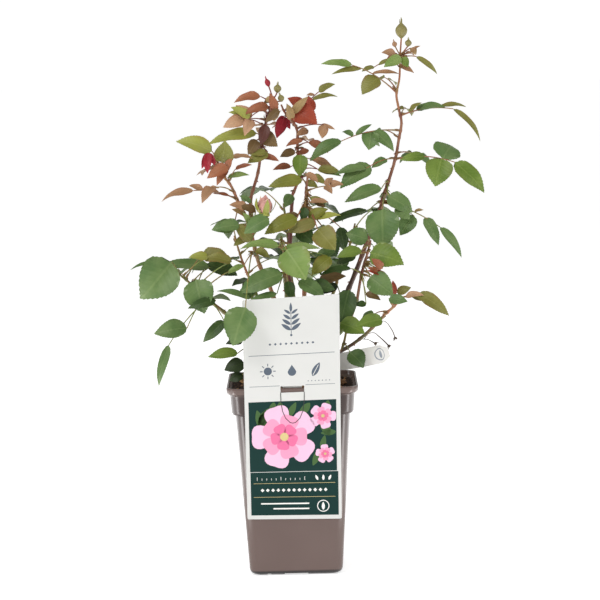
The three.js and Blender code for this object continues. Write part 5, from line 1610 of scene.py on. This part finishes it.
# %% [markdown]
# ## The picture card
# A stiff card hangs on the pot's rim by a tongue that is cut free, folded back over the lip and tucked
# in behind it. The card is a grid in its own flat millimetres, with rounded corners, a cut window and
# real thickness. Only then is it laid into its leaning place by a formula, so that everything printed on
# it can be drawn flat and laid on by the same formula.

# %% Card: flat drawing and its place
CARD_WIDE = 108
CARD_TALL = 258
CARD_CORNERS = ((-54.6, 67.5), (53.2, 66), (55.2, 327), (-54.2, 322))    # from the lower left one round
CARD_ROUND = 1.8             # radius of the corners
CARD_THICK = 0.8
CARD_LEAN = 0.113            # how far it comes forward for each millimetre of height
CARD_BACK = -75.35           # where its back is at the height of the rim
CARD_CURL = 1.6              # how far its edges curl back at the top
CURL_FROM = 235              # height at which the curl begins
CURL_OVER = 92               # height over which it grows
WINDOW = (40.8, 67.4, 148.5, 155.9)    # its left, right, lower and upper edges, as for the panels below


def on_card(x, z, off):
    """The place of a point of the flat card: off is its distance in front of the card's back."""
    s = x / CARD_WIDE
    t = z / CARD_TALL
    low_left, low_right, top_right, top_left = (np.array(corner) for corner in CARD_CORNERS)
    wide, height = (1 - t) * ((1 - s) * low_left + s * low_right) + t * ((1 - s) * top_left + s * top_right)
    curl = CARD_CURL * (2 * s - 1) ** 2 * max(0, (height - CURL_FROM) / CURL_OVER)
    return [wide, CARD_BACK + (RIM_TOP - height) * CARD_LEAN - off + curl, height]


def lay_on_card(piece, off):
    """Moves a flat drawing, with x across, y up and z out of the sheet, onto the card's front."""
    for vertex in piece.data.vertices:
        x, z, out = vertex.co
        vertex.co = Vector(on_card(x, z, off + out)) * MM
    open_edit(piece)
    face_outwards()
    close_edit()


clear_selection()
bpy.ops.mesh.primitive_grid_add(x_subdivisions=18, y_subdivisions=40, size=1, location=(0.5, 0.5, 0))
bpy.context.object.scale = (CARD_WIDE, CARD_TALL, 1)
bpy.context.object.location = (CARD_WIDE / 2, CARD_TALL / 2, 0)
card = new_piece("picture_card")
open_edit(card)
pick(card, "VERT", lambda m, v: len(v.link_edges) == 2)
bpy.ops.mesh.bevel(offset=CARD_ROUND, segments=5, affect="VERTICES")
bpy.ops.mesh.select_all(action="SELECT")
bpy.ops.mesh.extrude_region_move(TRANSFORM_OT_translate={"value": (0, 0, CARD_THICK)})
face_outwards()
close_edit()
clear_selection()
left, right, low, high = WINDOW
bpy.ops.mesh.primitive_cube_add(size=1, location=((left + right) / 2, (low + high) / 2, 0.4),
                                scale=(right - left, high - low, 4))
window_cutter = new_piece("window_cutter")
cut_away(card, window_cutter)
lay_on_card(card, 0)
smooth_below(card, 25)

# %% Card: the tongue over the rim, as distances forward and heights
TONGUE_HALF = 11
tongue_run = [(-75.9, 222.3), (-75.5, 223.1), (-74.6, 223.5), (-73, 223.4), (-72.1, 222.8), (-71.8, 221.6),
              (-71.7, 219), (-71.6, 215.4)]
clear_selection()
bpy.ops.mesh.primitive_grid_add(x_subdivisions=1, y_subdivisions=len(tongue_run) - 1, size=2)
tongue = new_piece("card_tongue")
open_edit(tongue)
for row, (y, z) in enumerate(tongue_run):
    level = -1 + 2 * row / (len(tongue_run) - 1)
    pick(tongue, "VERT", lambda m, v: abs(m.y - level) < 0.01 and abs(m.z) < 0.01)
    bpy.ops.transform.resize(value=(TONGUE_HALF * MM, 1, 1), center_override=(0, 0, 0))
    bpy.ops.transform.translate(value=(0, y * MM - level, z * MM))
close_edit()
apply_modifier(tongue, "SOLIDIFY", thickness=0.5 * MM, offset=0)
smooth_below(tongue, 40)

# %% [markdown]
# ## Prints
# What is printed is generic: a sprig at the head, small signs for sun, water and leaf in the place of
# words, a panel with three open roses on dark green, and a green band with rules and a row of marks. Each
# colour is a thin film of its own, made from a few flat forms: a bar, a disc, a leaf and a petal.

# %% Prints: the flat forms


def flat_form(corners, shape):
    """The outline of a flat form: a disc whose rim points are moved by shape(x, y), in a unit square."""
    clear_selection()
    bpy.ops.mesh.primitive_circle_add(vertices=corners, radius=1, fill_type="NGON", location=(0, 0, 0))
    form = new_piece("flat_form")
    for vertex in form.data.vertices:
        vertex.co.x, vertex.co.y = shape(vertex.co.x, vertex.co.y)
    outline = [tuple(form.data.vertices[v].co.xy) for v in form.data.polygons[0].vertices]
    bpy.data.objects.remove(form)
    return outline


disc = flat_form(28, lambda x, y: (x, y))
leaf_form = flat_form(20, lambda x, y: (x * 0.42 * (1 - 0.25 * y) * (1 - y * y) ** 0.25, y))
petal = flat_form(24, lambda x, y: (x * (0.62 + 0.3 * y), y * (1 - 0.16 * max(0, y) * (1 - abs(x)))))
drop = flat_form(20, lambda x, y: (x * (0.75 - 0.7 * max(0, y) ** 1.2), y * (1.25 if y > 0 else 0.75)))
square = [(-1, -1), (1, -1), (1, 1), (-1, 1)]
# cut_shadow is no ink: it is the painted shadow in the slit round the tongue.
print_tints = {"ink": ("5a6471", "5c6673"), "dark_green": ("0b312d", "0d332f"),
               "leaf_green": ("466539", "48673b"), "blush": ("efc2dc", "f1c4de"),
               "pink": ("f29fbf", "f4a1c1"), "rose": ("e7739e", "e975a0"), "gold": ("d7c389", "d9c58b"),
               "white": ("f1f0eb", "f3f2ed"), "cut_shadow": ("3a3e3d", "3c403f")}
prints = {colour: [] for colour in print_tints}


def draw_form(colour, form, x, z, size, turn=0.0, layer=0):
    """Adds a form to a colour's film, at x and z on the card, size across and up, turned to the left."""
    cos = math.cos(turn)
    sin = math.sin(turn)
    outline = [(x + px * size[0] * cos - pz * size[1] * sin, z + px * size[0] * sin + pz * size[1] * cos)
               for px, pz in form]
    prints[colour].append((outline, layer))


def draw_bar(colour, left, right, low, high, layer=0):
    """Adds an upright bar by its left, right, lower and upper edges."""
    size = ((right - left) / 2, (high - low) / 2)
    draw_form(colour, square, (left + right) / 2, (low + high) / 2, size, 0, layer)


# %% Prints: sprig, rules and small signs
MIDDLE = 54                  # the card's middle line
SIGN_LEVEL = 174
SUN_AT = 27
LEAF_AT = 81
draw_form("ink", square, MIDDLE, 229, (0.35, 13))
for pair in range(4):
    reach = 6.4 - pair * 0.7
    for hand in (-1, 1):
        draw_form("ink", leaf_form, MIDDLE + hand * (1 + reach * 0.72), 221 + pair * 6.2 + reach * 0.5,
                  (reach * 0.8, reach), -hand * 0.95)
draw_form("ink", leaf_form, MIDDLE, 246.5, (3.6, 5.4))
draw_form("ink", disc, MIDDLE, 214.6, (1.3, 1.3))
for place in range(9):
    draw_form("ink", square, 30 + place * 6, 205, (1.1, 1.1), math.pi / 4)
for span in range(8):        # short spans, so that the rule follows the card's curl
    draw_bar("ink", 6 + 12 * span, 18 + 12 * span, 192.3, 192.9)
for left, right in ((6, 40), (69, 102)):
    draw_bar("ink", left, right, 156.4, 156.9)
draw_form("ink", disc, SUN_AT, SIGN_LEVEL, (4.6, 4.6))
for ray in range(8):
    around = math.tau * ray / 8
    draw_form("ink", square, SUN_AT + 7.4 * math.cos(around), SIGN_LEVEL + 7.4 * math.sin(around),
              (1.5, 0.5), around)
draw_form("ink", drop, MIDDLE, SIGN_LEVEL - 1.5, (6.4, 6.6))
draw_form("ink", leaf_form, LEAF_AT, SIGN_LEVEL, (8.4, 8.6), -0.5)
draw_form("white", square, LEAF_AT - 0.4, SIGN_LEVEL - 0.7, (0.3, 6.5), -0.5, 1)
for place in range(7):
    draw_form("ink", disc, 72 + place * 4, 161, (0.6, 0.6))

# %% Prints: the panel with three open roses
ROSE_PANEL = (4.3, 103.2, 56.2, 138.7)
draw_bar("dark_green", *ROSE_PANEL)
draw = seeded(31)
for number in range(26):
    x = 10 + 87 * draw()
    z = 62 + 70 * draw()
    long = 8 + 5 * draw()
    x = min(max(x, 5 + long), 102.5 - long)
    z = min(max(z, 57 + long), 138 - long)
    draw_form("leaf_green", leaf_form, x, z, (long * 0.95, long), draw() * math.tau, 1)


def draw_rose(x, z, size, turn):
    """An open rose: three rings of five petals round a gold eye."""
    rings = (("blush", 0.6, 0.56, 0.0, 2), ("pink", 0.4, 0.42, 0.63, 3), ("rose", 0.22, 0.28, 0.2, 4))
    for colour, away, wide, start, layer in rings:
        for k in range(5):
            around = turn + start + math.tau * k / 5
            draw_form(colour, petal, x - away * size * math.sin(around), z + away * size * math.cos(around),
                      (wide * size, 0.46 * size * (1 if layer == 2 else wide / 0.56)), around, layer)
    draw_form("gold", disc, x, z, (size * 0.13, size * 0.13), 0, 5)


draw_rose(44, 97, 37, 0.3)
draw_rose(88, 120, 15, 0.9)
draw_rose(90, 76, 11, 0.1)

# %% Prints: the green band below
GREEN_BAND = (4.6, 104.6, 4.6, 55.6)
BAND_RULES = (42.2, 26)      # levels of the gold rules
draw_bar("dark_green", *GREEN_BAND)
for level in BAND_RULES:
    draw_bar("gold", 8, 101, level, level + 0.4, 1)
for place in range(11):
    tall = 4 if place % 5 == 0 else 2.4
    draw_bar("white", 12 + place * 5.4, 12.5 + place * 5.4, 46, 46 + tall, 1)
for place in range(3):
    draw_form("white", leaf_form, 80 + place * 7.5, 48.6, (3.2, 3.2), 0.4 - 0.4 * place, 1)
for place in range(13):
    draw_form("white", square, 18 + place * 6, 34.3, (1.5, 1.5), math.pi / 4, 1)
for colour, form, size, layer in (("white", disc, (7, 7), 1), ("dark_green", disc, (6, 6), 2),
                                  ("white", leaf_form, (4.2, 4.6), 3)):
    draw_form(colour, form, 87, 15.3, size, 0, layer)
for row in range(2):
    draw_bar("white", 16 + 14 * row, 71, 17.6 - 6 * row, 19.2 - 6 * row, 1)

# %% Card: a painted shadow line where the tongue is cut free
cut_run = [(40.8, 148.5), (41, 138), (42.6, 127), (46, 118.5), (51, 113.4), (54.1, 112.7), (57.2, 113.4),
           (62.2, 118.5), (65.6, 127), (67.2, 138), (67.4, 148.5)]
CUT_HALF = 0.4
# The cut is drawn as a thin dark film: painted shadow in the slit.
for (x1, z1), (x2, z2) in zip(cut_run, cut_run[1:]):
    long = math.hypot(x2 - x1, z2 - z1) / 2 + 0.1
    turn = math.atan2(x1 - x2, z2 - z1)
    draw_form("cut_shadow", square, (x1 + x2) / 2, (z1 + z2) / 2, (CUT_HALF, long), turn, 6)

# %% Prints: films laid on the card
FILM = 0.05                  # millimetres from one layer of print to the next
FILM_START = 0.02
for colour, forms in prints.items():
    points = []
    faces = []
    for outline, layer in forms:
        first = len(points)
        points.extend((x, z, layer * FILM + FILM_START) for x, z in outline)
        faces.append(list(range(first, len(points))))
    film = piece_from("card_print_" + colour, points, faces)
    lay_on_card(film, CARD_THICK)
    ink = mottled("print_" + colour, *print_tints[colour], 0.5, 0.15, 900, 2)
    hand_over(film, [ink.material], "card")

paper = mottled("coated_white_card", "d3d3cf", "d9d9d6", 0.5, 0.4, 25, 3)
paper.relief(paper.noise(1500, 3), 0.03, 0.2)
hand_over(card, [paper.material], "card", "hanging_card")
hand_over(tongue, [paper.material], "card")

# %% [markdown]
# ## The stem tag
# A strip of clear film is looped round the tall cane and its long end hangs forward over the rim. The
# film is milky, so the strip is a thin closed ribbon with a little transmission and a soft gloss, and it
# carries a small ring with a leaf as its mark.

# %% Tag: the ribbon
tag_marks = [[29.2, -1, 242.5], [43.9, -24, 241.5], [59.7, -46, 245.5], [83.2, -59, 251],
             [101.9, -65, 255.3], [110.7, -66, 257.4]]
tag_widths = [11, 15, 20, 21, 21, 10]
TAG_ROWS = 40
TAG_THICK = 0.35
tag_path = smooth_run(tag_marks, TAG_ROWS)


def on_tag(share, across, off):
    """A place on the ribbon: share of its length, -1 to 1 across, off in front of its middle."""
    row = share * TAG_ROWS
    low = min(int(row), TAG_ROWS - 1)
    here = tag_path[low].lerp(tag_path[low + 1], row - low)
    ahead = (tag_path[min(low + 2, TAG_ROWS)] - tag_path[max(low - 1, 0)]).normalized()
    side = ahead.cross(UP).normalized()
    rise = side.cross(ahead).normalized()
    half = radius_along(tag_widths, share) / 2
    return here + rise * (half * across) + side * off


clear_selection()
bpy.ops.mesh.primitive_grid_add(x_subdivisions=8, y_subdivisions=TAG_ROWS, size=2)
tag = new_piece("tag_ribbon")
for vertex in tag.data.vertices:
    vertex.co = on_tag((vertex.co.y + 1) / 2, vertex.co.x, 0) * MM
apply_modifier(tag, "SOLIDIFY", thickness=TAG_THICK * MM, offset=0)
smooth_below(tag, 30)

# %% Tag: the loop round the cane
LOOP_LEVEL = 248
LOOP_RADIUS = 4.4
LOOP_TALL = 11
clear_selection()
bpy.ops.mesh.primitive_cylinder_add(vertices=40, radius=LOOP_RADIUS * MM, depth=LOOP_TALL * MM,
                                    end_fill_type="NOTHING")
loop = new_piece("tag_loop")
tall_path = cane_paths["tall_cane"]
loop_middle = on_stem(tall_path, LOOP_LEVEL)
cane_way = (on_stem(tall_path, LOOP_LEVEL + 8) - on_stem(tall_path, LOOP_LEVEL - 8)).normalized()
lean = UP.rotation_difference(cane_way).to_matrix().to_4x4()
loop.data.transform(Matrix.Translation(loop_middle * MM) @ lean)
apply_modifier(loop, "SOLIDIFY", thickness=TAG_THICK * MM, offset=0)
smooth_below(loop, 30)
tag_film = join_pieces("tag_film", [tag, loop])

# %% Tag: its mark
MARK_AT = 0.79               # share of the ribbon's length
MARK_OFF = 0.22              # millimetres in front of the ribbon's middle
RING_LONG = 0.08             # the ring's reach along the ribbon, as a share of its length
RING_WIDE = 0.68             # its reach across, as a share of half the ribbon's width
RING_INSIDE = 0.84
RING_STEPS = 24
SIGN_LONG = 0.045            # the leaf's reach along and across, in the same shares
SIGN_WIDE = 0.45
mark_points = []
mark_faces = []
for k in range(RING_STEPS):
    first = len(mark_points)
    for i, wide in ((k, 1), (k + 1, 1), (k + 1, RING_INSIDE), (k, RING_INSIDE)):
        around = math.tau * i / RING_STEPS
        mark_points.append(on_tag(MARK_AT + RING_LONG * wide * math.cos(around),
                                  RING_WIDE * wide * math.sin(around), MARK_OFF))
    mark_faces.append(list(range(first, first + 4)))
first = len(mark_points)
mark_points.extend(on_tag(MARK_AT + SIGN_LONG * x, SIGN_WIDE * y, MARK_OFF) for x, y in leaf_form)
mark_faces.append(list(range(first, len(mark_points))))
tag_mark = piece_from("tag_mark", np.array(mark_points) * MM, mark_faces)

milky = mottled("milky_film", "e6e4df", "f0eeea", 0.35, 0.5, 120, 3)
milky.shader.inputs["Transmission Weight"].default_value = 0.2
hand_over(tag_film, [milky.material], "tag", "stem_tag")
grey_ink = mottled("grey_mark", "868d97", "959ca5", 0.5, 0.4, 900, 2)
hand_over(tag_mark, [grey_ink.material], "tag")

# %% [markdown]
# ## Dry flower stalks
# On the low right cane hang the dry stalks of last month's flowers. They are as thin as wire and dark, and
# they thicken towards a shrunken calyx, so they are fine limbs with four small leaf-like scales at each end.

# %% Dry stalks: their marks and radii in millimetres
dry_marks = [
    ([[83.1, -44, 270.2], [88, -45, 276.2], [94.9, -46, 277.2], [99.8, -48, 273.4], [105.7, -50, 268.1],
      [110.7, -50, 262.7]], 0.5),
    ([[81.1, -44, 270.2], [87.5, -45, 269.6], [92, -46, 267.3], [95.4, -47, 265.4]], 0.45),
    ([[93.8, -51, 284.3], [100.4, -50, 290.2], [106.1, -50, 290.9], [109.5, -50, 288.7],
      [112.5, -50, 284.4], [116, -50, 278.3], [118.2, -50, 271.6]], 0.4),
]
SWELL_FROM = 0.45            # share of the way at which a dry stalk starts to thicken
dry_runs = []
scales = []
for marks, radius in dry_marks:
    path = smooth_run(marks, 8 * (len(marks) - 1))
    swelling = [max(0, i / (len(path) - 1) - SWELL_FROM) for i in range(len(path))]
    dry_runs.append((path, [radius * (0.9 + 1.6 * swell) for swell in swelling]))
    end = path[-1]
    way = (end - path[-3]).normalized()
    for k in range(4):
        out = Matrix.Rotation(math.tau * k / 4 + 0.3, 3, way) @ way.orthogonal().normalized()
        mood = {"fold": 0.5, "cup": 0.1, "droop": -0.4, "ripple": 0.1, "phase": k, "twist": 0.3, "bow": 0.1}
        scales.append(bend_blade(end - way, way + out * 0.55, out, 5.5 - 0.5 * k, 2.6, mood))
dry_stalks = curve_mesh("dry_flower_stalks", dry_runs, 6)
smooth_below(dry_stalks, 60)
dry_bark = bark("dry_stalk_skin", "4a3c33", "6a5644", 0.75, 0.1)
hand_over(dry_stalks, [dry_bark], "green_bark")
faces = copied_faces(blade_faces, len(blade_points), len(scales))
scale_map = np.tile(BLADE_MAP, (len(scales), 1))
dry_scales = piece_from("dry_calyx_scales", np.concatenate(scales) * MM, faces, None, scale_map)
smooth_below(dry_scales, 58)
hand_over(dry_scales, [dry_bark], "green_bark")
